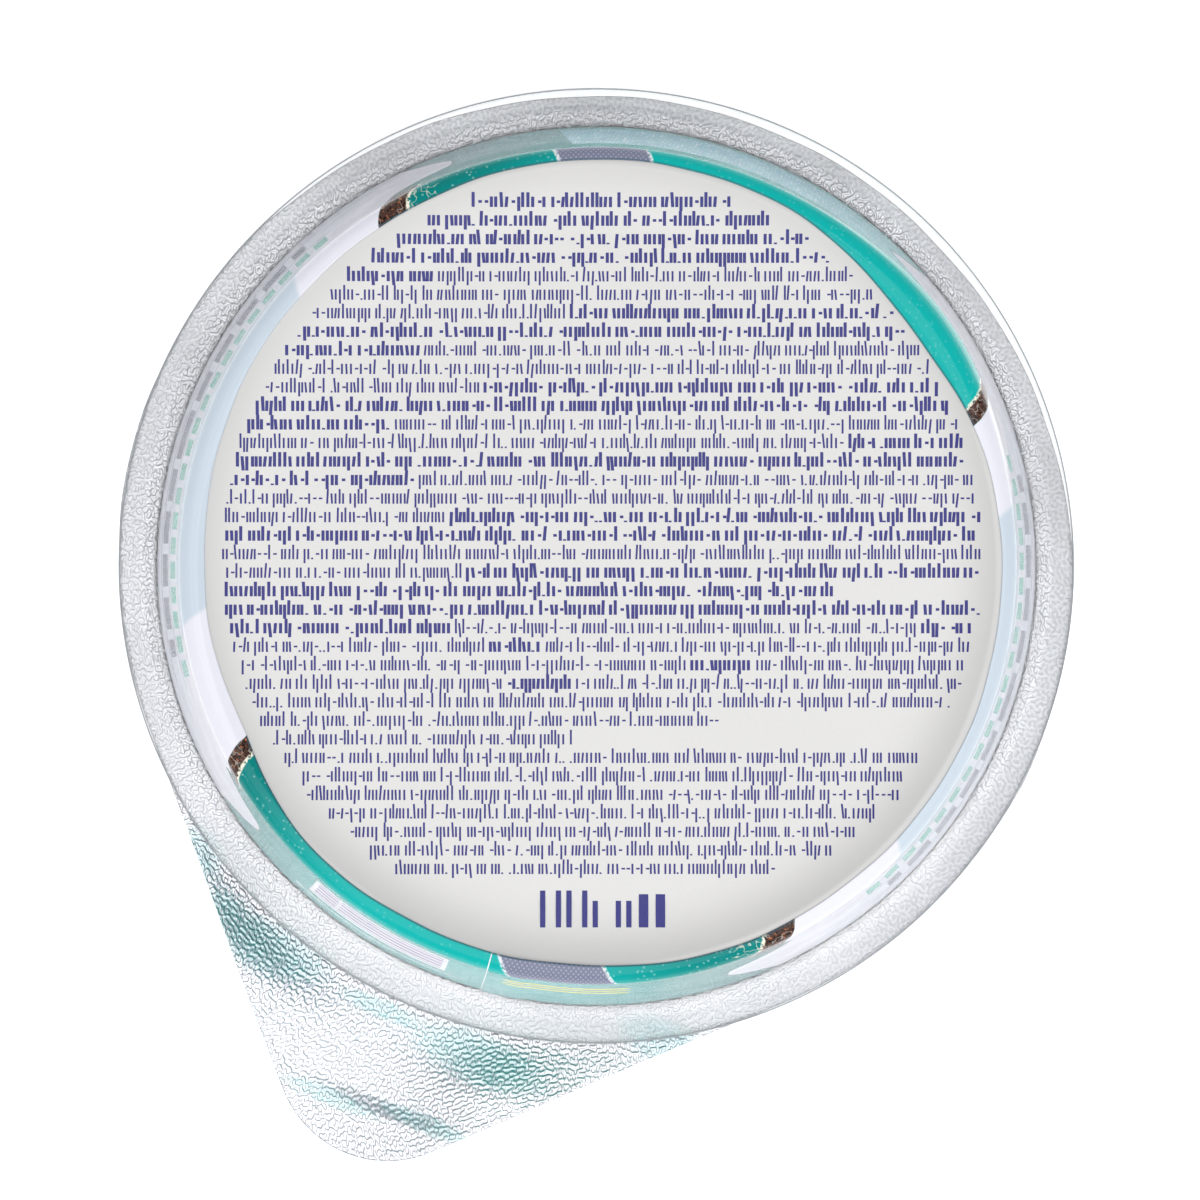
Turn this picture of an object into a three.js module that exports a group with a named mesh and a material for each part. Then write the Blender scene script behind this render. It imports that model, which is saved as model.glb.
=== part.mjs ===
// A shut yogurt pot that lies upside down on its foil lid.
// Millimetres, +Z up. The origin is the centre of the lid's outer face, which lies on z = 0,
// and the lid's pull tab points along -Y. Angles round the pot run from +X towards +Y.
import * as THREE from "three";

// Driving dimensions
const lidThickness = 0.2;
const lidRadius = 47.3;
const lidEdgeStrip = 0.4;
const tabRadius = 11.1;
const tabReach = 52.3;

// The wander of the lid's edge round its back, as waves round the pot: how far, how many and turned how much
const lidEdgeWaves = [
  { reach: 0.55, count: 1, turn: 63 },
  { reach: 0.35, count: 2, turn: 126 },
  { reach: 0.2, count: 5, turn: 0 },
];

// The free tab's slope, and the folds that lift stretches of it further. A fold's stretch is narrow
// along X and starts some way out from the flange.
const tabSlope = 0.07;
const tabFolds = [
  { middle: -17, spread: 9, start: 0, width: 6, rise: 1.4 },
  { middle: 12, spread: 7, start: 0, width: 7, rise: 1.3 },
  { middle: 2, spread: 7, start: 9.5, width: 2, rise: 0.45 },
];

const flangeRadius = 47.5;
const flangeThickness = 1.0;
const flangeEdgeRadius = 0.25;
const potDepth = 27.8;
const mouthRadius = 43.5;
const baseRadius = 39.75;
const wallThickness = 0.6;
const flangeFillet = 0.7;
const cornerRadius = 2.0;
const dishRadius = 32.2;
const dishDepth = 0.75;

const sleeveThickness = 0.15;
const sleeveRimGap = 2.6;
const sleeveEndRadius = 38.45;
const sleeveEndWaves = [
  { reach: 0.13, count: 3, turn: 55 },
  { reach: 0.08, count: 7, turn: 150 },
];
const seamAngle = 279;
const seamHalfWidth = 3;
const labelRadius = 37.95;
const labelThickness = 0.15;

const contentsVolume = 114000;
const clearance = 0.05;
const contentsClearance = 0.3;

// Heights of the stacked faces
const flangeUnderside = lidThickness + clearance;
const flangeTop = flangeUnderside + flangeThickness;
const baseTop = flangeUnderside + potDepth;

// Divisions of round stretches, and of the free tab from the flange to its edge
const turnSteps = 96;
const filletSteps = 3;
const cornerSteps = 4;
const dishSteps = 3;
const tabSteps = 7;

// The lid's columns round the pot, in degrees from the tab's middle: closest round the tab
const lidColumns = [
  { from: -10, to: 10, steps: 16 },
  { from: 10, to: 50, steps: 20 },
  { from: 50, to: 310, steps: 52 },
  { from: 310, to: 350, steps: 20 },
];

const radians = THREE.MathUtils.degToRad;
const smoothstep = THREE.MathUtils.smoothstep;

// The wall's slope, as the angle that its outer line makes with the vertical.
const wallLean = Math.atan2(mouthRadius - baseRadius, baseTop - flangeTop);

// Radius of the wall's outer face at a height, before the roundings at its ends.
function wallRadiusAt(z) {
  return mouthRadius - (z - flangeTop) * Math.tan(wallLean);
}

// Centre of the rounding between wall and base, in the profile plane.
const cornerZ = baseTop - cornerRadius;
const cornerX = wallRadiusAt(cornerZ) - cornerRadius / Math.cos(wallLean);

// Points of an arc in the profile plane, both ends included. Angles are in radians.
function arc(x, z, radius, from, to, steps) {
  return Array.from({ length: steps + 1 }, (_, i) => {
    const angle = from + ((to - from) * i) / steps;
    return new THREE.Vector2(x + radius * Math.cos(angle), z + radius * Math.sin(angle));
  });
}

// The rounding between wall and base, for a surface that lies an offset outside the pot's outer face.
// It stops where it has turned in to endRadius.
function baseCorner(offset, endRadius = cornerX) {
  const radius = cornerRadius + offset;
  return arc(cornerX, cornerZ, radius, wallLean, Math.acos((endRadius - cornerX) / radius), cornerSteps);
}

// The base's dish for a surface that lies an offset outside the pot's outer face, from outerRadius in to
// the axis. It is flat in the middle and curves up to the corner, more steeply further out.
function baseDish(offset, outerRadius = cornerX) {
  const slopeSteps = Array.from({ length: dishSteps }, (_, i) => i / dishSteps);
  const slope = slopeSteps.map((share) => {
    const radius = THREE.MathUtils.lerp(outerRadius, dishRadius, share);
    const rise = ((radius - dishRadius) / (cornerX - dishRadius)) ** 2;
    return new THREE.Vector2(radius, baseTop + offset - dishDepth * (1 - rise));
  });
  const floorZ = baseTop + offset - dishDepth;
  return [...slope, new THREE.Vector2(dishRadius, floorZ), new THREE.Vector2(0, floorZ)];
}

// The rounding between flange and wall, from the flange's top face up to the wall.
function flangeCorner() {
  const centreZ = flangeTop + flangeFillet;
  const centreX = wallRadiusAt(centreZ) + flangeFillet / Math.cos(wallLean);
  return arc(centreX, centreZ, flangeFillet, -Math.PI / 2, -Math.PI + wallLean, filletSteps);
}

// A profile turned about +Z. It starts and ends on the axis.
function turned(profile) {
  return new THREE.LatheGeometry(profile, turnSteps).rotateX(Math.PI / 2);
}

// The clear cup: flange, leaning wall, rounded corner and dished base, open at the mouth that the lid closes.
function cupGeometry() {
  const edgeX = flangeRadius - flangeEdgeRadius;
  const lowEdgeZ = flangeUnderside + flangeEdgeRadius;
  const highEdgeZ = flangeTop - flangeEdgeRadius;
  return turned([
    ...baseDish(-wallThickness).reverse(),
    ...baseCorner(-wallThickness).reverse().slice(1),
    new THREE.Vector2(wallRadiusAt(flangeUnderside) - wallThickness, flangeUnderside),
    ...arc(edgeX, lowEdgeZ, flangeEdgeRadius, -Math.PI / 2, 0, filletSteps),
    ...arc(edgeX, highEdgeZ, flangeEdgeRadius, 0, Math.PI / 2, filletSteps),
    ...flangeCorner(),
    ...baseCorner(0),
    ...baseDish(0).slice(1),
  ]);
}

// The contents rest on the lid and fill the mouth end up to the level that their volume reaches.
// The level's radius comes from the volume of a cone frustum.
function contentsGeometry() {
  const floorZ = flangeUnderside + contentsClearance;
  const narrowing = Math.tan(wallLean);
  const floorRadius = wallRadiusAt(floorZ) - wallThickness - contentsClearance;
  const levelRadius = Math.cbrt(floorRadius ** 3 - (3 * contentsVolume * narrowing) / Math.PI);
  const levelZ = floorZ + (floorRadius - levelRadius) / narrowing;
  return turned([
    new THREE.Vector2(0, floorZ),
    new THREE.Vector2(floorRadius, floorZ),
    new THREE.Vector2(levelRadius, levelZ),
    new THREE.Vector2(0, levelZ),
  ]);
}

// The round printed label that lines the base's dish.
function labelGeometry() {
  const low = baseDish(clearance, labelRadius);
  const high = baseDish(clearance + labelThickness, labelRadius);
  return turned([...low.reverse(), ...high]);
}

// A solid from points and the triangles between them.
function solid(points, index) {
  const position = points.flatMap((p) => [p.x, p.y, p.z]);
  const geometry = new THREE.BufferGeometry();
  geometry.setAttribute("position", new THREE.Float32BufferAttribute(position, 3));
  geometry.setIndex(index);
  geometry.computeVertexNormals();
  return geometry;
}

// The sum of waves round the pot at an angle.
function wander(waves, angle) {
  const shares = waves.map(({ reach, count, turn }) => reach * Math.cos(count * angle - radians(turn)));
  return shares.reduce((sum, share) => sum + share, 0);
}

// The printed sleeve: a thin band round the wall that turns in over the base's corner.
// Along the seam its two ends lie on each other, so it is twice as thick there.
function sleeveGeometry() {
  const lowZ = flangeTop + sleeveRimGap;
  const points = [];
  const index = [];
  for (let i = 0; i < turnSteps; i += 1) {
    const angle = (2 * Math.PI * i) / turnSteps;
    const onSeam = Math.abs(angle - radians(seamAngle)) < radians(seamHalfWidth);
    const outer = clearance + sleeveThickness * (onSeam ? 2 : 1);
    const endRadius = sleeveEndRadius + wander(sleeveEndWaves, angle);
    const face = (offset) => [
      new THREE.Vector2(wallRadiusAt(lowZ) + offset / Math.cos(wallLean), lowZ),
      ...baseCorner(offset, endRadius),
    ];
    const loop = [...face(outer), ...face(clearance).reverse()];
    const next = ((i + 1) % turnSteps) * loop.length;
    loop.forEach((p, j) => {
      const here = points.length;
      const k = (j + 1) % loop.length;
      const wrap = here - j + k;
      points.push(new THREE.Vector3(p.x * Math.cos(angle), p.x * Math.sin(angle), p.y));
      index.push(here, next + j, next + k, here, next + k, wrap);
    });
  }
  return solid(points, index);
}

// The lid's reach from the origin. Its outline is a circle and the tab's smaller circle, joined by the
// two lines that touch both. away is the angle from the tab's direction. Round the back the edge wanders.
function lidReachAt(angle) {
  const away = Math.abs(Math.atan2(Math.sin(angle), Math.cos(angle)));
  const touch = Math.acos((lidRadius - tabRadius) / tabReach);
  const tipHalf = Math.atan2(tabRadius * Math.sin(touch), tabReach + tabRadius * Math.cos(touch));
  if (away < tipHalf) {
    return tabReach * Math.cos(away) + Math.sqrt(tabRadius ** 2 - (tabReach * Math.sin(away)) ** 2);
  }
  if (away < touch) return lidRadius / Math.cos(touch - away);
  return lidRadius + wander(lidEdgeWaves, angle) * smoothstep(away, touch, touch + radians(35));
}

// Height of the free tab above the lid's plane, which starts at the flange's edge.
function tabLift(x, y) {
  const beyond = Math.max(0, Math.hypot(x, y) - flangeRadius);
  const folds = tabFolds.map(({ middle, spread, start, width, rise }) => {
    const across = (x - middle) / spread;
    return rise * Math.exp(-across * across) * smoothstep(beyond, start, start + width);
  });
  return folds.reduce((sum, fold) => sum + fold, tabSlope * beyond);
}

// The foil lid: a flat disc with its pull tab. Its two faces follow the same height.
function lidGeometry() {
  const angles = lidColumns.flatMap(({ from, to, steps }) =>
    Array.from({ length: steps }, (_, i) => radians(from + ((to - from) * i) / steps)),
  );
  const freeShares = Array.from({ length: tabSteps + 1 }, (_, j) => j / tabSteps);
  const rows = freeShares.length + 1;
  const points = [new THREE.Vector3(0, 0, 0), new THREE.Vector3(0, 0, lidThickness)];
  angles.forEach((angle) => {
    const reach = lidReachAt(angle);
    const held = Math.min(flangeRadius, reach - lidEdgeStrip);
    const freeRadii = freeShares.map((share) => THREE.MathUtils.lerp(held, reach, share));
    const column = [mouthRadius, ...freeRadii].map((radius) => [
      radius * Math.sin(angle),
      -radius * Math.cos(angle),
    ]);
    const face = (thickness) => column.map(([x, y]) => new THREE.Vector3(x, y, tabLift(x, y) + thickness));
    points.push(...face(0), ...face(lidThickness));
  });
  const low = (i, j) => 2 + (i % angles.length) * 2 * rows + j;
  const high = (i, j) => low(i, j) + rows;
  const index = [];
  const quad = (a, b, c, d) => index.push(a, b, c, a, c, d);
  angles.forEach((_, i) => {
    index.push(0, low(i + 1, 0), low(i, 0), 1, high(i, 0), high(i + 1, 0));
    for (let j = 0; j < rows - 1; j += 1) {
      quad(low(i, j), low(i + 1, j), low(i + 1, j + 1), low(i, j + 1));
      quad(high(i, j), high(i, j + 1), high(i + 1, j + 1), high(i + 1, j));
    }
    quad(low(i, rows - 1), low(i + 1, rows - 1), high(i + 1, rows - 1), high(i, rows - 1));
  });
  return solid(points, index);
}

function piece(name, geometry, look) {
  const mesh = new THREE.Mesh(geometry, new THREE.MeshStandardMaterial(look));
  mesh.name = name;
  return mesh;
}

const pot = new THREE.Group();
pot.add(
  piece("foil_lid", lidGeometry(), { color: 0xd9dbe0, roughness: 0.35, metalness: 1 }),
  piece("cup", cupGeometry(), { color: 0xf2f5f6, roughness: 0.08, transparent: true, opacity: 0.35 }),
  piece("yogurt", contentsGeometry(), { color: 0xf4f1ea, roughness: 0.45 }),
  piece("printed_sleeve", sleeveGeometry(), { color: 0x1eb1ae, roughness: 0.25 }),
  piece("base_label", labelGeometry(), { color: 0xe2e1df, roughness: 0.5 }),
);

export default pot;
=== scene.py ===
import math

import bpy
import numpy as np
from bpy.props import FloatProperty, FloatVectorProperty, IntProperty, PointerProperty
from bpy.types import Operator, Panel, PropertyGroup
from mathutils import Matrix, Vector


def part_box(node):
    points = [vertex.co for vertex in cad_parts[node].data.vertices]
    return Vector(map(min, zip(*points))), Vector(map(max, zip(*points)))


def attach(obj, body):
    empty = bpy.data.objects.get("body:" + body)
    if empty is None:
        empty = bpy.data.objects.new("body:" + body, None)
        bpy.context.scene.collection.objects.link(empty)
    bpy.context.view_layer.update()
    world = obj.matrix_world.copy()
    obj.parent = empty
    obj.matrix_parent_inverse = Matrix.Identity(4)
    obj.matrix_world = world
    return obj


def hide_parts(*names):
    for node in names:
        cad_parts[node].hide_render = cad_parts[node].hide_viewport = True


bl_info = {
    "name": "Yogurt Pot",
    "version": (1, 0, 0),
    "blender": (4, 5, 0),
    "location": "View3D > Sidebar > Yogurt Pot",
    "description": "A shut yogurt pot that lies upside down on its embossed foil lid",
    "category": "Add Mesh",
}

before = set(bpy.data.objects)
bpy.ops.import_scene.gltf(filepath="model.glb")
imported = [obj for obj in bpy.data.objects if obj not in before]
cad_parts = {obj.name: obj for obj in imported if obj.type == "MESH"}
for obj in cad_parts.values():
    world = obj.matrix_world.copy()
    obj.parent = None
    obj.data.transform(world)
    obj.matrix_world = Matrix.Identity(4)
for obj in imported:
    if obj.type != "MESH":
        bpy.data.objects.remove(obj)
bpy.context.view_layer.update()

# Shapes are worked out in millimetres and put into Blender in metres.
MM = 1000.0
ROOT = "root"

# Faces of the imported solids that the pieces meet, in millimetres
CUP_LOW, CUP_HIGH = (np.array(corner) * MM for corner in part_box("cup"))
FILM_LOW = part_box("printed_sleeve")[0][2] * MM
CONTENTS_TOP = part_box("yogurt")[1][2] * MM
FLANGE_UNDERSIDE = CUP_LOW[2]
FLANGE_RADIUS = CUP_HIGH[0]
BASE_TOP = CUP_HIGH[2]

# The photograph shows the tab to the lower left. These are its right and up directions in the frame,
# where the tab points along -Y.
PHOTO_TURN = math.radians(23.4)
PHOTO_RIGHT = np.array([math.cos(PHOTO_TURN), math.sin(PHOTO_TURN), 0.0])
PHOTO_UP = np.array([-math.sin(PHOTO_TURN), math.cos(PHOTO_TURN), 0.0])


# Properties

def linear(*screen):
    """Linear values of a colour that is given in a screen's 0 to 255 steps."""
    part = np.array(screen) / 255.0
    return tuple(np.where(part <= 0.04045, part / 12.92, ((part + 0.055) / 1.055) ** 2.4).tolist())


def length(name, description, millimetres):
    """A length property, with its default given in millimetres."""
    return FloatProperty(
        name=name, description=description, default=millimetres / MM, min=0.0, precision=5, unit="LENGTH"
    )


def tint(name, description, *screen):
    """A colour property, with its default given in a screen's 0 to 255 steps."""
    return FloatVectorProperty(
        name=name, description=description, default=linear(*screen), size=3,
        min=0.0, max=1.0, subtype="COLOR",
    )


def share(name, description, default):
    """A property from 0 to 1."""
    return FloatProperty(
        name=name, description=description, default=default, min=0.0, max=1.0, subtype="FACTOR"
    )


def amount(name, description, default, least=0.0):
    """A plain number that is never below its least value."""
    return FloatProperty(name=name, description=description, default=default, min=least)


def count_of(name, description, default):
    """A whole number above 0."""
    return IntProperty(name=name, description=description, default=default, min=1)


def turn(name, description, degrees):
    """An angle property, with its default given in degrees."""
    return FloatProperty(name=name, description=description, default=math.radians(degrees), subtype="ANGLE")


class LidSettings(PropertyGroup):
    radius: length("Radius", "Radius of the lid's round part", 47.3)
    tab_radius: length("Tab rounding", "Radius of the tab's rounded tip", 11.1)
    tab_reach: length("Tab reach", "Distance of the tip's centre from the lid's centre", 52.3)
    edge_thickness: length("Edge thickness", "Thickness of the foil at its cut edge", 0.09)
    emboss_pitch: length("Emboss pitch", "Distance from ridge to ridge of the worm pattern", 0.52)
    emboss_depth: length("Emboss depth", "Height of the ridges above their middle plane", 0.028)
    columns: count_of("Columns", "Mesh columns round the lid, a multiple of 4", 1440)
    metal: tint("Foil", "Colour of the bare aluminium", 210, 210, 214)
    lacquer: tint("Lacquer", "Colour of the lid's lacquered outer face", 236, 242, 244)
    band: tint("Band", "Colour of the printed bands on the outer face", 22, 170, 172)
    # Painted reflection: the teal that the tab's spots are painted with, standing for the sleeve reflected
    # in the foil
    painted_teal_reflection: tint("Stain", "Colour of the faint spots on the tab", 120, 205, 204)


class CupSettings(PropertyGroup):
    mouth_radius: length("Mouth radius", "Radius of the wall's outer face at the flange", 43.5)
    base_radius: length("Base radius", "Radius of the wall's outer line at the base", 39.45)
    wall: length("Wall", "Thickness of the wall", 0.6)
    flange_thickness: length("Flange thickness", "Thickness of the flange", 1.0)
    flange_edge: length("Flange edge", "Rounding of the flange's edge", 0.15)
    fillet: length("Fillet", "Rounding between flange and wall", 0.7)
    corner: length("Corner", "Rounding between wall and base", 1.3)
    dish_radius: length("Dish radius", "Radius of the base's flat middle", 31.5)
    dish_depth: length("Dish depth", "Depth of the base's dish", 1.5)
    columns: count_of("Columns", "Mesh columns round the cup", 360)
    plastic: tint("Plastic", "Tint of the clear plastic", 252, 253, 253)
    # Painted shade: the grey of the flange's edge, which draws the dark line along it
    cut_edge_shade: tint("Cut edge", "Colour of the flange's punched edge", 172, 176, 180)
    ior: amount("IOR", "Refractive index of the plastic", 1.5, least=1.0)


class ContentsSettings(PropertyGroup):
    bite: length("Bite", "How far the contents reach into the wall, so that no air gap shows", 0.12)
    yogurt: tint("Yogurt", "Colour of the yogurt", 247, 245, 240)


class SleeveSettings(PropertyGroup):
    film: length("Film", "Thickness of the film", 0.15)
    gap: length("Gap", "Distance of the film from the cup", 0.05)
    end_radius: length("End radius", "Mean radius at which the film ends on the base", 38.4)
    seam: turn("Seam", "Angle of the film's cut edge", 278.2)
    overlap: turn("Overlap", "Width of the overlap at the seam", 6.0)
    teal: tint("Teal", "Colour of the large fields", 8, 172, 166)
    slate: tint("Slate", "Colour of the patches in the fields", 120, 124, 146)
    brown: tint("Brown", "Colour of the ribbons along the fields", 74, 52, 44)
    amber: tint("Amber", "Colour of the flecks in the ribbons", 186, 112, 68)
    ground: tint("Ground", "Colour of the ground between the fields", 194, 206, 216)
    pale: tint("Pale", "Colour of the ground next to the fields", 222, 222, 230)
    frost: tint("Frost", "Colour of the glittering panel", 146, 192, 204)
    panel: tint("Panel", "Colour of the striped panel's lines", 240, 240, 244)
    stripe: tint("Stripe", "Colour of the striped panel's ground", 176, 160, 190)
    dash: tint("Dash", "Colour of the dashes on the ground", 108, 110, 124)
    mint: tint("Mint", "Colour of the second row of dashes", 104, 184, 166)
    yellow: tint("Yellow", "Colour of the thin arcs", 244, 226, 70)


class LabelSettings(PropertyGroup):
    paper: tint("Paper", "Colour of the label's ground", 208, 207, 205)
    ink: tint("Ink", "Colour of the printed strokes", 30, 30, 116)
    thickness: length("Thickness", "Height of the label's face above the base", 0.2)
    ink_height: length("Ink height", "Height of the ink above the label", 0.012)
    block_radius: length("Block radius", "Radius of the circle that the rows of strokes fill", 36.1)
    first_row: length("First row", "Distance of the first row from the label's centre", 33.8)
    shift_right: length("Shift right", "How far the rows' middle is right of the label's centre", 0.48)
    shift_up: length("Shift up", "How far the rows' middle is above the label's centre", 0.3)
    row_pitch: length("Row pitch", "Distance from row to row", 1.762)
    rows: count_of("Rows", "Number of rows", 37)
    stroke_height: length("Stroke height", "Height of a plain upright stroke", 0.98)


class StageSettings(PropertyGroup):
    floor: tint("Floor", "Colour of the floor", 250, 250, 250)
    floor_glow: share("Floor glow", "Light that the floor gives off, which keeps its shadows pale", 0.45)
    sky_low: amount("Low sky", "Strength of the light from the sides", 0.56)
    sky_high: amount("High sky", "Strength of the light from above", 0.3)
    camera_distance: length("Camera distance", "Distance from the lens to the flange", 600.0)
    picture_width: length("Picture width", "Width of the picture at the flange", 119.3)


class PotSettings(PropertyGroup):
    lid: PointerProperty(type=LidSettings)
    cup: PointerProperty(type=CupSettings)
    contents: PointerProperty(type=ContentsSettings)
    sleeve: PointerProperty(type=SleeveSettings)
    label: PointerProperty(type=LabelSettings)
    stage: PointerProperty(type=StageSettings)


# Meshes

def smoothstep(value, low, high):
    """0 below low, 1 above high, and 3t^2 - 2t^3 between them."""
    t = np.clip((value - low) / (high - low), 0.0, 1.0)
    return t * t * (3.0 - 2.0 * t)


def arc(x, z, radius, start, end, steps):
    """Points (x + radius cos a, z + radius sin a) for a from start to end, both included."""
    angle = np.linspace(start, end, steps + 1)
    return np.stack([x + radius * np.cos(angle), z + radius * np.sin(angle)], axis=1)


def around(radius, height, angle):
    """Points (r cos a, r sin a, z), from arrays that broadcast to one shape."""
    radius, height, angle = np.broadcast_arrays(radius, height, angle)
    return np.stack([radius * np.cos(angle), radius * np.sin(angle), height], axis=-1)


def quads(index):
    """Quads between the neighbours of a grid of vertex numbers, where index[i, j] is row j of column i."""
    return np.stack([index[:-1, :-1], index[1:, :-1], index[1:, 1:], index[:-1, 1:]], axis=2).reshape(-1, 4)


def fan(pole, ring):
    """Triangles from one vertex to each step of a ring of vertex numbers."""
    return np.stack([np.full(len(ring) - 1, pole), ring[:-1], ring[1:]], axis=1)


def closed(index):
    """A grid of vertex numbers with its first column repeated at its end."""
    return np.concatenate([index, index[:1]])


def signed_volume(points, faces):
    """Volume inside the faces, as the sum of p0 . (p1 x p2) / 6 over their triangles."""
    total = 0.0
    for block in faces:
        for k in range(1, block.shape[1] - 1):
            a, b, c = points[block[:, 0]], points[block[:, k]], points[block[:, k + 1]]
            total += np.einsum("ij,ij->", a, np.cross(b, c)) / 6.0
    return total


def make_piece(name, points, faces, materials, numbers=None):
    """A smooth mesh object from points in millimetres and blocks of faces, each an array of vertex numbers.

    The faces of a block all have the same number of corners, and numbers gives each block's material. If
    the faces point inwards, all are turned round.
    """
    if signed_volume(points, faces) < 0.0:
        faces = [block[:, ::-1] for block in faces]
    sizes = np.concatenate([np.full(len(block), block.shape[1]) for block in faces])
    corners = np.concatenate([block.ravel() for block in faces])
    mesh = bpy.data.meshes.new(name)
    mesh.vertices.add(len(points))
    mesh.vertices.foreach_set("co", (points / MM).astype(np.float32).ravel())
    mesh.loops.add(len(corners))
    mesh.loops.foreach_set("vertex_index", corners.astype(np.int32))
    mesh.polygons.add(len(sizes))
    mesh.polygons.foreach_set("loop_start", (np.cumsum(sizes) - sizes).astype(np.int32))
    mesh.polygons.foreach_set("use_smooth", np.ones(len(sizes), dtype=bool))
    for material in materials:
        mesh.materials.append(material)
    if numbers is not None:
        chosen = np.concatenate([np.full(len(block), number) for block, number in zip(faces, numbers)])
        mesh.polygons.foreach_set("material_index", chosen.astype(np.int32))
    mesh.update(calc_edges=True)
    piece = bpy.data.objects.new(name, mesh)
    bpy.context.scene.collection.objects.link(piece)
    return piece


def give_attribute(piece, name, values):
    """A number for each vertex, which a material can read."""
    attribute = piece.data.attributes.new(name, "FLOAT", "POINT")
    attribute.data.foreach_set("value", values.astype(np.float32).ravel())


def turned_solid(name, profile, columns, materials):
    """A profile that starts and ends on the axis, turned about Z into a closed solid with two poles."""
    angle = np.arange(columns)[:, None] * (2.0 * math.pi / columns)
    inner = profile[1:-1]
    grid = around(inner[None, :, 0], inner[None, :, 1], angle)
    index = closed(np.arange(columns * len(inner)).reshape(columns, len(inner)))
    poles = np.array([[0.0, 0.0, profile[0, 1]], [0.0, 0.0, profile[-1, 1]]])
    points = np.concatenate([grid.reshape(-1, 3), poles])
    first = columns * len(inner)
    faces = [quads(index), fan(first, index[::-1, 0]), fan(first + 1, index[:, -1])]
    return make_piece(name, points, faces, materials)


def place(piece, slot, *nodes):
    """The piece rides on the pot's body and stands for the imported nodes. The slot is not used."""
    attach(piece, ROOT)
    if nodes:
        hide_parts(*nodes)


# The pot's own shapes, in millimetres

class PotShape:
    """The cup's outer line: a wall that leans in, a rounded corner and a dished base."""

    def __init__(self, cup):
        self.wall = cup.wall * MM
        self.corner = cup.corner * MM
        self.mouth_radius = cup.mouth_radius * MM
        self.flange_top = FLANGE_UNDERSIDE + cup.flange_thickness * MM
        self.dish_radius = cup.dish_radius * MM
        self.dish_depth = cup.dish_depth * MM
        self.narrowing = (self.mouth_radius - cup.base_radius * MM) / (BASE_TOP - self.flange_top)
        self.lean = math.atan(self.narrowing)
        self.corner_z = BASE_TOP - self.corner
        self.corner_x = self.wall_radius(self.corner_z) - self.corner / math.cos(self.lean)

    def wall_radius(self, z):
        """Radius of the wall's outer face: a straight line from the mouth to the base."""
        return self.mouth_radius - (z - self.flange_top) * self.narrowing

    def base_height(self, radius):
        """Height of the base: flat, then a parabola up to the corner, then the corner's arc."""
        t = np.clip((radius - self.dish_radius) / (self.corner_x - self.dish_radius), 0.0, 1.0)
        beyond = np.clip(radius - self.corner_x, 0.0, self.corner)
        drop = self.corner - np.sqrt(self.corner**2 - beyond**2)
        return BASE_TOP - self.dish_depth * (1.0 - t * t) - drop


def wander(waves, angle):
    """Sum of reach cos(count angle - turn), over waves given as (reach, count, turn in degrees)."""
    return sum(reach * np.cos(count * angle - math.radians(degrees)) for reach, count, degrees in waves)


def hump(angle, middle, width):
    """A smooth hump exp(-(d / width)^2), where d is how far an angle is from the middle, in degrees."""
    away = np.degrees(np.angle(np.exp(1j * (angle - math.radians(middle)))))
    return np.exp(-((away / width) ** 2))


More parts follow.
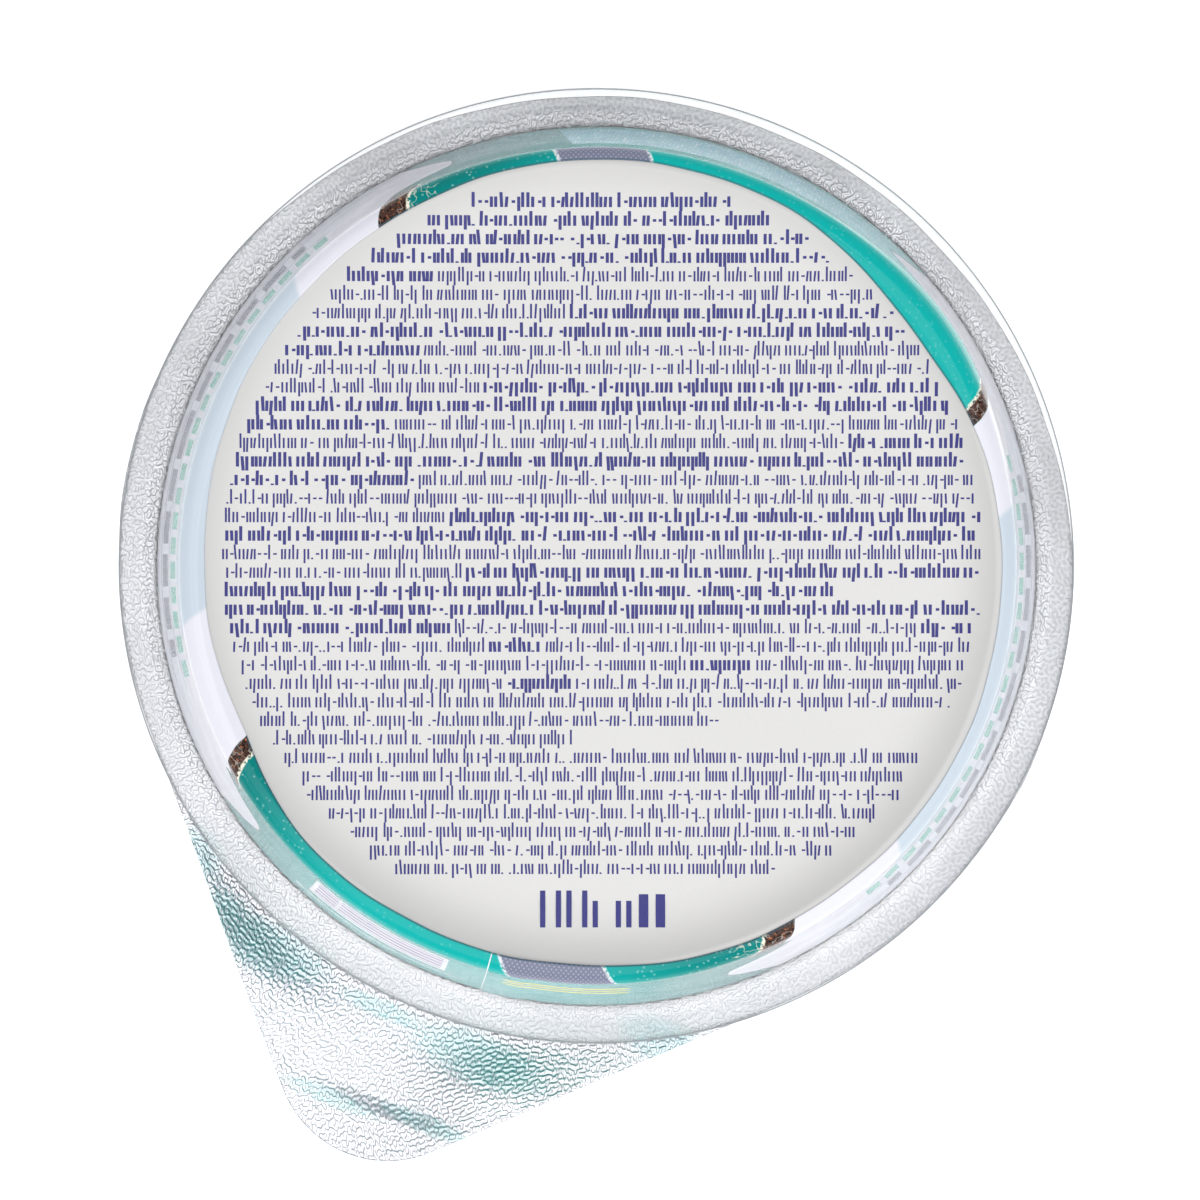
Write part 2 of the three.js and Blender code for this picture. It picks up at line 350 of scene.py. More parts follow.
class LidShape:
    """The lid's outline, the heights of its free foil and the pattern that is embossed in it.

    Angles are measured from the tab's middle, which is -Y, towards +X.
    """

    edge_waves = (
        (0.46, 1, 355), (0.29, 2, 189), (0.054, 3, 268), (0.048, 4, 39), (0.037, 5, 172),
        (0.045, 13, 40), (0.03, 29, 10),
    )
    # Angle over which these waves set in beside the tab
    edge_onset = math.radians(35)
    tab_slope = 0.07
    # Middle, spread, start, width and rise of each fold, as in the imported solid
    tab_folds = ((-17, 9, 0, 6, 1.4), (12, 7, 0, 7, 1.3), (2, 7, 9.5, 2, 0.45))
    # Number of plane waves in the worm pattern, their gain, how their directions, counts and phases are
    # spread, and the soft waves that push them about
    wave_count = 12
    wave_gain = 1.9
    turn_spread, turn_rate = 0.1, 3.7
    count_spread, count_rate = 0.2, 2.3
    phase_step = 2.399
    pushes = ((0.5, 0.31, 1.0), (0.14, 1.25, 2.2), (0.05, 2.9, 0.4))
    # The lid is sealed flat to the flange between these radii.
    seal_inner, seal_outer, seal_soft, seal_keep = 45.3, 47.5, 0.35, 0.5

    def __init__(self, lid):
        self.radius = lid.radius * MM
        self.tab_radius = lid.tab_radius * MM
        self.tab_reach = lid.tab_reach * MM
        self.touch = math.acos((self.radius - self.tab_radius) / self.tab_reach)
        number = np.arange(self.wave_count)
        turns = number * math.pi / self.wave_count + self.turn_spread * np.sin(self.turn_rate * number)
        spread = 1.0 + self.count_spread * np.cos(self.count_rate * number)
        count = 2.0 * math.pi / (lid.emboss_pitch * MM) * spread
        phase = self.phase_step * number**2 % (2.0 * math.pi)
        self.waves = list(zip(count * np.cos(turns), count * np.sin(turns), phase))

    def reach(self, angle):
        """Distance from the centre to the edge: a circle, the tab's circle and their tangents."""
        away = np.abs(np.angle(np.exp(1j * angle)))
        tip_half = math.atan2(
            self.tab_radius * math.sin(self.touch), self.tab_reach + self.tab_radius * math.cos(self.touch)
        )
        across = np.minimum(self.tab_radius**2, (self.tab_reach * np.sin(away)) ** 2)
        tip = self.tab_reach * np.cos(away) + np.sqrt(self.tab_radius**2 - across)
        side = self.radius / np.cos(np.maximum(self.touch - away, 0.0))
        back = smoothstep(away, self.touch, self.touch + self.edge_onset)
        disc = self.radius + wander(self.edge_waves, angle) * back
        return np.where(away < tip_half, tip, np.where(away < self.touch, side, disc))

    def lift(self, x, y):
        """Height of the free foil: a gentle slope from the flange's edge, plus the folds' smooth steps."""
        beyond = np.maximum(np.hypot(x, y) - FLANGE_RADIUS, 0.0)
        total = self.tab_slope * beyond
        for middle, spread, start, width, rise in self.tab_folds:
            across = np.exp(-(((x - middle) / spread) ** 2))
            total = total + rise * across * smoothstep(beyond, start, start + width)
        return total

    def emboss(self, x, y):
        """The worm pattern from -1 to 1: tanh(gain sqrt(2 / n) sum sin(k . p + phase)), p pushed about."""
        u = x + sum(size * np.sin(rate * y + phase) for size, rate, phase in self.pushes)
        v = y + sum(size * np.sin(rate * x - phase) for size, rate, phase in self.pushes)
        total = sum(np.sin(u * across + v * along + phase) for across, along, phase in self.waves)
        return np.tanh(self.wave_gain * math.sqrt(2.0 / self.wave_count) * total)

    def sealed(self, radius):
        """1 where the lid is sealed flat to the flange, 0 elsewhere."""
        soft = self.seal_soft
        rise = smoothstep(radius, self.seal_inner - soft, self.seal_inner + soft)
        return rise * (1.0 - smoothstep(radius, self.seal_outer - soft, self.seal_outer + soft))


# Node trees

class Field:
    """A value in a node tree. Sums and products of fields add Math nodes to the tree."""

    def __init__(self, tree, socket):
        self.tree = tree
        self.socket = socket

    def math(self, operation, *others):
        node = self.tree.nodes.new("ShaderNodeMath")
        node.operation = operation
        for target, value in zip(node.inputs, (self, *others)):
            feed(self.tree, target, value)
        return Field(self.tree, node.outputs[0])

    def __add__(self, other):
        return self.math("ADD", other)

    def __sub__(self, other):
        return self.math("SUBTRACT", other)

    def __rsub__(self, other):
        return self.math("MULTIPLY_ADD", -1.0, other)

    def __mul__(self, other):
        return self.math("MULTIPLY", other)

    def __truediv__(self, other):
        return self.math("DIVIDE", other)

    __radd__ = __add__
    __rmul__ = __mul__

    def sine(self):
        return self.math("SINE")

    def size(self):
        return self.math("ABSOLUTE")

    def least(self, other):
        return self.math("MINIMUM", other)

    def most(self, other):
        return self.math("MAXIMUM", other)

    def wrap(self, low, high):
        return self.math("WRAP", high, low)

    def step(self, low, high):
        """0 below low and 1 above high, with a smooth step between them."""
        node = self.tree.nodes.new("ShaderNodeMapRange")
        node.interpolation_type = "SMOOTHSTEP"
        for target, value in zip(node.inputs, (self, low, high, 0.0, 1.0)):
            feed(self.tree, target, value)
        return Field(self.tree, node.outputs[0])

    def within(self, low, high, soft):
        """1 between low and high, 0 outside, with soft edges."""
        return self.step(low - soft, low + soft) * (1.0 - self.step(high - soft, high + soft))

    def to(self, low, high):
        """A mask from 0 to 1 stretched to run from low to high."""
        return self.math("MULTIPLY_ADD", high - low, low)


def feed(tree, target, value):
    """Links a field or a socket to an input, or sets the input to a plain value."""
    if isinstance(value, Field):
        tree.links.new(value.socket, target)
    elif isinstance(value, bpy.types.NodeSocket):
        tree.links.new(value, target)
    else:
        target.default_value = value


def add_node(tree, kind, inputs=(), **options):
    """A node with some of its options and inputs set."""
    node = tree.nodes.new(kind)
    for name, value in options.items():
        setattr(node, name, value)
    for name, value in dict(inputs).items():
        feed(tree, node.inputs[name], value)
    return node


def any_of(masks):
    """The greatest of several masks."""
    total = masks[0]
    for mask in masks[1:]:
        total = total.most(mask)
    return total


def dim(colour, *factors):
    """A colour times one factor, or times one for each of its parts."""
    return tuple((np.array(colour) * factors).tolist())


def paint(tree, below, above, mask):
    """A colour over another where the mask is 1."""
    node = add_node(tree, "ShaderNodeMix", data_type="RGBA")
    feed(tree, node.inputs[0], mask)
    for target, colour in ((node.inputs[6], below), (node.inputs[7], above)):
        feed(tree, target, colour if isinstance(colour, bpy.types.NodeSocket) else (*colour, 1.0))
    return node.outputs[2]


def noise(tree, where, scale, detail=2.0, roughness=0.5):
    """A noise field from 0 to 1, with a scale given per millimetre."""
    inputs = {"Vector": where, "Scale": scale * MM, "Detail": detail, "Roughness": roughness}
    return Field(tree, add_node(tree, "ShaderNodeTexNoise", inputs).outputs[0])


def attribute_field(tree, name):
    """A number that the piece's vertices carry, as a field."""
    return Field(tree, add_node(tree, "ShaderNodeAttribute", attribute_name=name).outputs["Fac"])


def object_place(tree):
    """The Object coordinates, and x and y as fields in millimetres."""
    place_socket = add_node(tree, "ShaderNodeTexCoord").outputs["Object"]
    parts = add_node(tree, "ShaderNodeSeparateXYZ", {0: place_socket})
    return place_socket, Field(tree, parts.outputs[0]) * MM, Field(tree, parts.outputs[1]) * MM


def new_group(name, inputs, outputs):
    """A shader node group with named sockets. Inputs have their defaults, outputs only their kinds."""
    group = bpy.data.node_groups.new(name, "ShaderNodeTree")
    for socket_name, default in inputs.items():
        socket = group.interface.new_socket(socket_name, in_out="INPUT", socket_type="NodeSocketFloat")
        socket.default_value = default
    for socket_name, kind in outputs.items():
        group.interface.new_socket(socket_name, in_out="OUTPUT", socket_type=kind)
    start = group.nodes.new("NodeGroupInput")
    end = group.nodes.new("NodeGroupOutput")
    fields = {socket_name: Field(group, start.outputs[socket_name]) for socket_name in inputs}
    return group, fields, end


def use_group(tree, group, **inputs):
    """A node that places a group, with some of its inputs set."""
    node = add_node(tree, "ShaderNodeGroup", node_tree=group)
    for name, value in inputs.items():
        feed(tree, node.inputs[name.replace("_", " ").capitalize()], value)
    return node


def seal_turn(x, y):
    """Distance along the line on which the sealed ring gets duller and flatter, away from the tab."""
    return x * 0.37 + y * 0.93


def worm_emboss_group(lid):
    """The lid's worm pattern as a height from -1 to 1, the same formula as LidShape.emboss."""
    group = bpy.data.node_groups.get("Worm emboss")
    if group:
        return group
    shape = LidShape(lid)
    group, given, end = new_group("Worm emboss", {"Seal keep": 1.0}, {"Height": "NodeSocketFloat"})
    _, x, y = object_place(group)
    u, v = x, y
    for size, rate, phase in shape.pushes:
        u = u + (y * rate + phase).sine() * size
        v = v + (x * rate - phase).sine() * size
    pushed = add_node(group, "ShaderNodeCombineXYZ", {0: u, 1: v}).outputs[0]
    total = None
    for across, along, phase in shape.waves:
        inputs = {0: pushed, 1: (across, along, 0.0)}
        dot = add_node(group, "ShaderNodeVectorMath", inputs, operation="DOT_PRODUCT")
        wave = (Field(group, dot.outputs["Value"]) + phase).sine()
        total = wave if total is None else total + wave
    pattern = (total * (shape.wave_gain * math.sqrt(2.0 / shape.wave_count))).math("TANH")
    radius = (x * x + y * y).math("SQRT")
    sealed = radius.within(shape.seal_inner, shape.seal_outer, shape.seal_soft)
    keep = given["Seal keep"] * (1.2 - seal_turn(x, y) * (0.55 / shape.seal_outer))
    feed(group, end.inputs["Height"], pattern * (1.0 - sealed * (1.0 - keep)))
    return group


def unevenness_group():
    """Soft and fine noise in one, for surfaces that are never quite even."""
    group = bpy.data.node_groups.get("Unevenness")
    if group:
        return group
    inputs = {"Broad scale": 100.0, "Fine scale": 1500.0, "Fine share": 0.4}
    group, given, end = new_group("Unevenness", inputs, {"Value": "NodeSocketFloat"})
    where = add_node(group, "ShaderNodeTexCoord").outputs["Object"]
    broad_inputs = {"Vector": where, "Scale": given["Broad scale"], "Detail": 1.0}
    fine_inputs = {"Vector": where, "Scale": given["Fine scale"], "Detail": 2.0}
    broad = Field(group, add_node(group, "ShaderNodeTexNoise", broad_inputs).outputs[0])
    fine = Field(group, add_node(group, "ShaderNodeTexNoise", fine_inputs).outputs[0])
    feed(group, end.inputs["Value"], broad + (fine - broad) * given["Fine share"])
    return group


def unevenness(tree, broad_scale, fine_scale):
    """The unevenness as a field, with its two scales per metre."""
    node = use_group(tree, unevenness_group(), broad_scale=broad_scale, fine_scale=fine_scale)
    return Field(tree, node.outputs[0])


def new_material(name, **values):
    """A material with a Principled BSDF. Values name its inputs, and constants are set on them."""
    material = bpy.data.materials.new(name)
    material.use_nodes = True
    tree = material.node_tree
    shader = next(node for node in tree.nodes if node.type == "BSDF_PRINCIPLED")
    for key, value in values.items():
        target = shader.inputs[key.replace("_", " ")]
        target.default_value = (*value, 1.0) if target.type == "RGBA" else value
    return material, tree, shader


def set_normal(tree, shader, height, millimetres):
    """Bump from a height field, where a height of 1 stands for the given distance."""
    inputs = {"Strength": 1.0, "Distance": millimetres / MM, "Height": height}
    tree.links.new(add_node(tree, "ShaderNodeBump", inputs).outputs[0], shader.inputs["Normal"])


# The foil lid

# Places on the tab where a teal reflection of the sleeve is painted into the foil's colour, as x, y and
# half widths in millimetres
LID_PAINTED_REFLECTIONS = (
    (-14.8, -47.8, 6.5, 2.6), (-2.0, -48.9, 4.5, 1.0), (8.5, -49.6, 7.0, 2.4), (-3.5, -58.9, 5.0, 0.9),
    (6.5, -57.6, 5.0, 0.9), (25.5, -40.8, 5.0, 2.2), (-26.0, -42.5, 3.5, 3.0), (-21.0, -46.5, 3.0, 2.0),
)
# The outer face's two full bands, as their distance towards the tab and their half width in millimetres
LID_BANDS = ((20.0, 9.0), (56.0, 6.0))


def foil_material(lid):
    """Bare aluminium with the worm pattern, grainy where it is sealed, and with painted shade in its
    grooves.
    """
    material, tree, shader = new_material("Embossed foil", Metallic=1.0)
    where, x, y = object_place(tree)
    emboss_node = use_group(tree, worm_emboss_group(lid), seal_keep=LidShape.seal_keep)
    emboss = Field(tree, emboss_node.outputs[0])
    uneven = unevenness(tree, 60.0, 2600.0)
    radius = (x * x + y * y).math("SQRT")
    sealed = radius.within(LidShape.seal_inner, LidShape.seal_outer, LidShape.seal_soft)
    # Painted shade: the grooves are darkened in the colour, with a teal tint that paints the sleeve's
    # reflection in them
    painted_groove_shade = (emboss + 0.45).size().step(0.4, 0.05) * (0.85 - sealed * 0.45)
    colour = paint(tree, lid.metal, dim(lid.metal, 0.5, 0.56, 0.58), painted_groove_shade)
    # Painted reflection: teal spots on the tab stand for the sleeve reflected in the foil
    reflection_spots = []
    for across, along, wide, deep in LID_PAINTED_REFLECTIONS:
        spot = ((x - across) / wide).math("POWER", 2.0) + ((y - along) / deep).math("POWER", 2.0)
        reflection_spots.append(spot.step(1.6, 0.2))
    colour = paint(tree, colour, dim(lid.painted_teal_reflection, 0.8), any_of(reflection_spots) * (painted_groove_shade * 0.45 + 0.25))
    tree.links.new(colour, shader.inputs["Base Color"])
    dull = seal_turn(x, y) * 0.0009 + 0.1
    feed(tree, shader.inputs["Roughness"], uneven.step(0.3, 0.7).to(0.34, 0.42) + sealed * dull)
    grit = noise(tree, where, 5.5, roughness=0.7)
    set_normal(tree, shader, emboss + (grit - 0.5) * sealed.to(0.12, 1.0), lid.emboss_depth * MM)
    return material


def lacquer_material(lid):
    """The lid's outer face: white lacquer over the foil, with broad bands of colour."""
    material, tree, shader = new_material("Lacquered foil", Metallic=0.0, Roughness=0.28, Coat_Weight=0.3)
    _, x, y = object_place(tree)
    emboss = Field(tree, use_group(tree, worm_emboss_group(lid), seal_keep=0.35).outputs[0])
    across = y * 0.94 + x * 0.34 + (x * 0.07).sine() * 3.0
    bands = any_of([(across + below).size().step(half, half - 0.4) for below, half in LID_BANDS])
    soft = tuple(0.5 * (a + b) for a, b in zip(lid.band, lid.lacquer))
    colour = paint(tree, lid.lacquer, soft, (across - 12.0).size().step(5.0, 4.6))
    tree.links.new(paint(tree, colour, lid.band, bands), shader.inputs["Base Color"])
    set_normal(tree, shader, emboss * -1.0, lid.emboss_depth * MM)
    return material


class LidFace:
    """One face of the lid: rings round the disc, then a patch from the strip out to the tab's outline.

    A ring's radii run from the flat middle to the flange's edge and over a narrow strip beyond it. The
    points are (r sin a, -r cos a, height).
    """

    flat_radius = 42.8
    strip = 0.4

    def __init__(self, shape, angle, tab, spacing, height, start):
        reach = shape.reach(angle)
        held = np.minimum(FLANGE_RADIUS, reach - self.strip)
        edge = reach.copy()
        edge[tab] = held[tab] + self.strip
        flat = np.full(len(angle), self.flat_radius)
        inside, beyond = self.steps(flat, held, spacing), self.steps(held, edge, spacing)
        radii = np.concatenate([flat[:, None], inside, beyond], axis=1)
        patch = self.steps(edge[tab], reach[tab], spacing)
        self.rings = start + np.arange(radii.size).reshape(radii.shape)
        self.pole = start + radii.size + patch.size
        patch_numbers = start + radii.size + np.arange(patch.size).reshape(patch.shape)
        self.patch = np.concatenate([self.rings[tab, -1:], patch_numbers], axis=1)
        self.outline = self.rings[:, -1].copy()
        self.outline[tab] = self.patch[:, -1]
        self.tab = np.flatnonzero(tab)

        def points(r, a, outer):
            x, y = r * np.sin(a), -r * np.cos(a)
            return np.stack([x, y, height(x, y, r, outer)], axis=2).reshape(-1, 3)

        disc_points = points(radii, angle[:, None], reach[:, None])
        tab_points = points(patch, angle[tab][:, None], reach[tab][:, None])
        middle = np.array([[0.0, 0.0, disc_points[0, 2]]])
        self.points = np.concatenate([disc_points, tab_points, middle])

    @staticmethod
    def steps(low, high, spacing):
        """Even steps from one line round the lid to another, without the first line."""
        count = max(1, math.ceil(np.max(high - low) / spacing))
        return low[:, None] + (high - low)[:, None] * (np.arange(1, count + 1) / count)[None, :]

    def faces(self):
        """The rings' and the patch's quads, the middle's fan and the slivers at the patch's two sides."""
        rings = closed(self.rings)
        first, last = self.patch[0], self.patch[-1]
        before = np.full(len(first) - 1, self.rings[self.tab[0] - 1, -1])
        after = np.full(len(last) - 1, self.rings[self.tab[-1] + 1, -1])
        return [
            quads(rings),
            quads(self.patch),
            fan(self.pole, rings[::-1, 0]),
            np.stack([before, first[:-1], first[1:]], axis=1),
            np.stack([last[:-1], after, last[1:]], axis=1),
        ]


def make_foil_lid(settings):
    """The lid as one closed sheet, whose upper face is fine enough to carry the embossed ridges.

    The upper face lies at lift + curl + thickness + depth * emboss, and the lower face, which has every
    fourth column, at lift + curl. The curl raises the cut edge off the floor by a few hundredths.
    """
    lid = settings.lid
    shape = LidShape(lid)
    depth = lid.emboss_depth * MM
    edge_thickness = lid.edge_thickness * MM
    full_thickness, taper = 0.19, 0.6
    curl, curl_width = 0.06, 0.8
    fine, coarse = 0.19, 0.8
    step = 4

    def lower_height(x, y, radius, reach):
        return shape.lift(x, y) + curl * (1.0 - smoothstep(reach - radius, 0.0, curl_width))

    def upper_height(x, y, radius, reach):
        inner_share = smoothstep(reach - radius, 0.0, taper)
        thickness = edge_thickness + (full_thickness - edge_thickness) * inner_share
        ridge = depth * shape.emboss(x, y) * (1.0 - (1.0 - shape.seal_keep) * shape.sealed(radius))
        ridge = ridge * smoothstep(radius, LidFace.flat_radius, LidFace.flat_radius + taper)
        return lower_height(x, y, radius, reach) + thickness + ridge

    angle = -math.pi + np.arange(lid.columns) * (2.0 * math.pi / lid.columns)
    wide = (shape.reach(angle) > FLANGE_RADIUS + LidFace.strip + 0.02) & (np.abs(angle) < shape.touch)
    run = np.flatnonzero(wide)
    first, last = math.ceil(run[0] / step) * step, run[-1] // step * step
    tab = (np.arange(lid.columns) >= first) & (np.arange(lid.columns) <= last)
    upper = LidFace(shape, angle, tab, fine, upper_height, 0)
    lower = LidFace(shape, angle[::step], tab[::step], coarse, lower_height, len(upper.points))
    top_line, low_line = closed(upper.outline), closed(lower.outline)
    spans = [top_line[k : lid.columns + k : step] for k in range(step)] + [top_line[step::step]]
    rim = np.stack([*spans, low_line[1:], low_line[:-1]], axis=1)
    top_faces = upper.faces()
    low_faces = [block[:, ::-1] for block in lower.faces()]
    numbers = [0] * len(top_faces) + [1] * len(low_faces) + [0]
    piece = make_piece(
        "foil_lid_sheet",
        np.concatenate([upper.points, lower.points]),
        top_faces + low_faces + [rim],
        [foil_material(lid), lacquer_material(lid)],
        numbers,
    )
    place(piece, "foil", "foil_lid")


# The clear cup

def clear_plastic_material(cup):
    """Clear polystyrene-like plastic, faintly uneven, with a smooth polish."""
    material, tree, shader = new_material(
        "Clear plastic", Metallic=0.0, Transmission_Weight=1.0, IOR=cup.ior, Base_Color=cup.plastic
    )
    uneven = unevenness(tree, 180.0, 900.0)
    feed(tree, shader.inputs["Roughness"], uneven.step(0.35, 0.75).to(0.015, 0.05))
    set_normal(tree, shader, uneven, 0.01)
    return material


def cut_edge_material(cup):
    """The flange's punched edge: the same plastic, frosted by the cut, with a grey colour that is painted
    shade, so that it shows as a grey line.
    """
    material, tree, shader = new_material(
        "Cut plastic edge", Metallic=0.0, Transmission_Weight=0.4, IOR=cup.ior, Base_Color=cup.cut_edge_shade
    )
    uneven = unevenness(tree, 400.0, 1800.0)
    feed(tree, shader.inputs["Roughness"], uneven.step(0.3, 0.75).to(0.35, 0.5))
    return material


def make_clear_cup(settings):
    """The cup's shell, turned from one profile.

    Down the outside: dish, corner arc, straight wall, fillet, flange. Back up the inside: the same lines
    one wall thickness further in, where the corner has the smaller radius.
    """
    cup = settings.cup
    pot = PotShape(cup)
    flange_edge = cup.flange_edge * MM
    fillet = cup.fillet * MM
    underside = FLANGE_UNDERSIDE
    mouth_step = 0.15
    dish_radii = np.linspace(pot.dish_radius, pot.corner_x, 17)
    outer_dish = np.stack([dish_radii, pot.base_height(dish_radii)], axis=1)
    outer_corner = arc(pot.corner_x, pot.corner_z, pot.corner, math.pi / 2, pot.lean, 16)[1:]
    wall_z = np.linspace(outer_corner[-1, 1], pot.flange_top + fillet * (1.0 - math.sin(pot.lean)), 9)[1:-1]
    outer_wall = np.stack([pot.wall_radius(wall_z), wall_z], axis=1)
    fillet_z = pot.flange_top + fillet
    fillet_x = pot.wall_radius(fillet_z) + fillet / math.cos(pot.lean)
    mouth_fillet = arc(fillet_x, fillet_z, fillet, math.pi + pot.lean, 1.5 * math.pi, 8)
    rim_x = FLANGE_RADIUS - flange_edge
    upper_rim = arc(rim_x, pot.flange_top - flange_edge, flange_edge, math.pi / 2, 0.0, 6)
    lower_rim = arc(rim_x, underside + flange_edge, flange_edge, 0.0, -math.pi / 2, 6)
    thick = pot.wall / math.cos(pot.lean)
    mouth = np.array([[pot.wall_radius(underside) - thick + mouth_step, underside]])
    inner_corner_radius = pot.corner - pot.wall
    inner_end = pot.corner_z + inner_corner_radius * math.sin(pot.lean)
    inner_z = np.linspace(underside + mouth_step, inner_end, 9)[:-1]
    inner_wall = np.stack([pot.wall_radius(inner_z) - thick, inner_z], axis=1)
    inner_corner = arc(pot.corner_x, pot.corner_z, inner_corner_radius, pot.lean, math.pi / 2, 10)
    inner_dish = np.stack([dish_radii[::-1], pot.base_height(dish_radii[::-1]) - pot.wall], axis=1)[1:]
    middle = BASE_TOP - pot.dish_depth
    profile = np.concatenate(
        [
            [[0.0, middle]], outer_dish, outer_corner, outer_wall, mouth_fillet, upper_rim, lower_rim,
            mouth, inner_wall, inner_corner, inner_dish, [[0.0, middle - pot.wall]],
        ]
    )
    materials = [clear_plastic_material(cup), cut_edge_material(cup)]
    piece = turned_solid("clear_cup", profile, cup.columns, materials)

    # The faces of the flange's edge take the second material
    first = len(outer_dish) + len(outer_corner) + len(outer_wall) + len(mouth_fillet)
    number = np.zeros(len(piece.data.polygons), dtype=np.int32)
    bands = number[: cup.columns * (len(profile) - 3)].reshape(cup.columns, -1)
    bands[:, first : first + len(upper_rim) + len(lower_rim) - 1] = 1
    piece.data.polygons.foreach_set("material_index", number)
    place(piece, "clear_plastic", "cup")


# The contents

def yogurt_material(contents):
    """Thick white yogurt, slightly translucent, with a damp sheen that varies."""
    material, tree, shader = new_material(
        "Yogurt", Subsurface_Weight=0.25, Subsurface_Scale=0.002, IOR=1.38
    )
    uneven = unevenness(tree, 120.0, 700.0)
    cool = dim(contents.yogurt, 0.95, 0.95, 0.93)
    colour = paint(tree, cool, contents.yogurt, uneven.step(0.3, 0.7))
    tree.links.new(colour, shader.inputs["Base Color"])
    feed(tree, shader.inputs["Roughness"], uneven.step(0.3, 0.7).to(0.25, 0.42))
    set_normal(tree, shader, uneven, 0.12)
    return material


def make_yogurt(settings):
    """The contents lie on the lid. Their side reaches just into the cup's wall, and their level is wavy.

    A turned profile: floor, a side that follows the wall's inner line, a meniscus and a level surface.
    """
    pot = PotShape(settings.cup)
    bite = settings.contents.bite * MM
    thick = pot.wall / math.cos(pot.lean) - bite
    floor, level = 0.17, CONTENTS_TOP
    meniscus, climb = 1.2, 0.25
    wave, wave_length = 0.1, 6.0
    side_z = np.linspace(floor, level + climb, 13)
    side = np.stack([pot.wall_radius(side_z) - thick, side_z], axis=1)
    side[0, 0] = pot.wall_radius(FLANGE_UNDERSIDE) - thick
    edge = side[-1, 0]
    t = np.linspace(0.0, 1.0, 9)[1:]
    curve = np.stack([edge - meniscus * t, level + climb * (1.0 - t) ** 2], axis=1)
    top_radii = np.linspace(edge - meniscus, 0.0, 15)[1:]
    top = np.stack([top_radii, level + wave * (np.cos(top_radii / wave_length) - 1.0)], axis=1)
    profile = np.concatenate([[[0.0, floor]], side, curve, top])
    piece = turned_solid("yogurt_fill", profile, 240, [yogurt_material(settings.contents)])
    place(piece, "yogurt", "yogurt")


# The printed sleeve

class FilmPath:
    """The film's way in section: up the wall, round the corner and in over the base, by its length s."""

    # Waves of the film's shrunk end, and the three places where it has shrunk further in
    end_waves = (
        (0.558, 1, 42), (0.213, 2, 184), (0.067, 3, 142), (0.168, 4, 253), (0.141, 6, 351),
        (0.03, 17, 20), (0.02, 31, 75),
    )
    end_humps = ((2.0, 60.6, 19.2), (0.88, 229.5, 11.6), (0.43, 294, 12))
    # Length at which the film begins, a little below its solid's lower edge
    low_end = -1.5

    def __init__(self, pot, sleeve):
        self.pot = pot
        self.outer = (sleeve.gap + sleeve.film) * MM
        self.bend = pot.corner + self.outer
        self.start = np.array(
            [pot.corner_x + pot.corner * math.cos(pot.lean), pot.corner_z + pot.corner * math.sin(pot.lean)]
        )
        self.wall_length = (self.start[1] - FILM_LOW) / math.cos(pot.lean)
        self.corner_length = self.wall_length + self.bend * (math.pi / 2 - pot.lean)
        self.end_radius = sleeve.end_radius * MM

    def end(self, angle):
        """Length at which the film ends, from the radius of its end."""
        radius = self.end_radius + wander(self.end_waves, angle)
        radius = radius - sum(reach * hump(angle, middle, width) for reach, middle, width in self.end_humps)
        bend = np.clip((radius - self.pot.corner_x) / self.bend, 0.0, 1.0)
        on_corner = self.wall_length + self.bend * (np.arccos(bend) - self.pot.lean)
        on_dish = self.corner_length + self.pot.corner_x - radius
        return np.where(radius > self.pot.corner_x, on_corner, on_dish)

    def place(self, s, offset):
        """Radius and height at length s, offset outwards: a line, then an arc, then the dish."""
        pot = self.pot
        back = np.minimum(s - self.wall_length, 0.0)
        wall_r = self.start[0] - back * math.sin(pot.lean) + offset * math.cos(pot.lean)
        wall_z = self.start[1] + back * math.cos(pot.lean) + offset * math.sin(pot.lean)
        angle = pot.lean + np.clip((s - self.wall_length) / self.bend, 0.0, math.pi / 2 - pot.lean)
        arc_r = pot.corner_x + (pot.corner + offset) * np.cos(angle)
        arc_z = pot.corner_z + (pot.corner + offset) * np.sin(angle)
        dish_r = pot.corner_x - np.maximum(s - self.corner_length, 0.0)
        dish_z = pot.base_height(dish_r) + offset
        on_wall, on_dish = s < self.wall_length, s > self.corner_length
        return (
            np.where(on_wall, wall_r, np.where(on_dish, dish_r, arc_r)),
            np.where(on_wall, wall_z, np.where(on_dish, dish_z, arc_z)),
        )


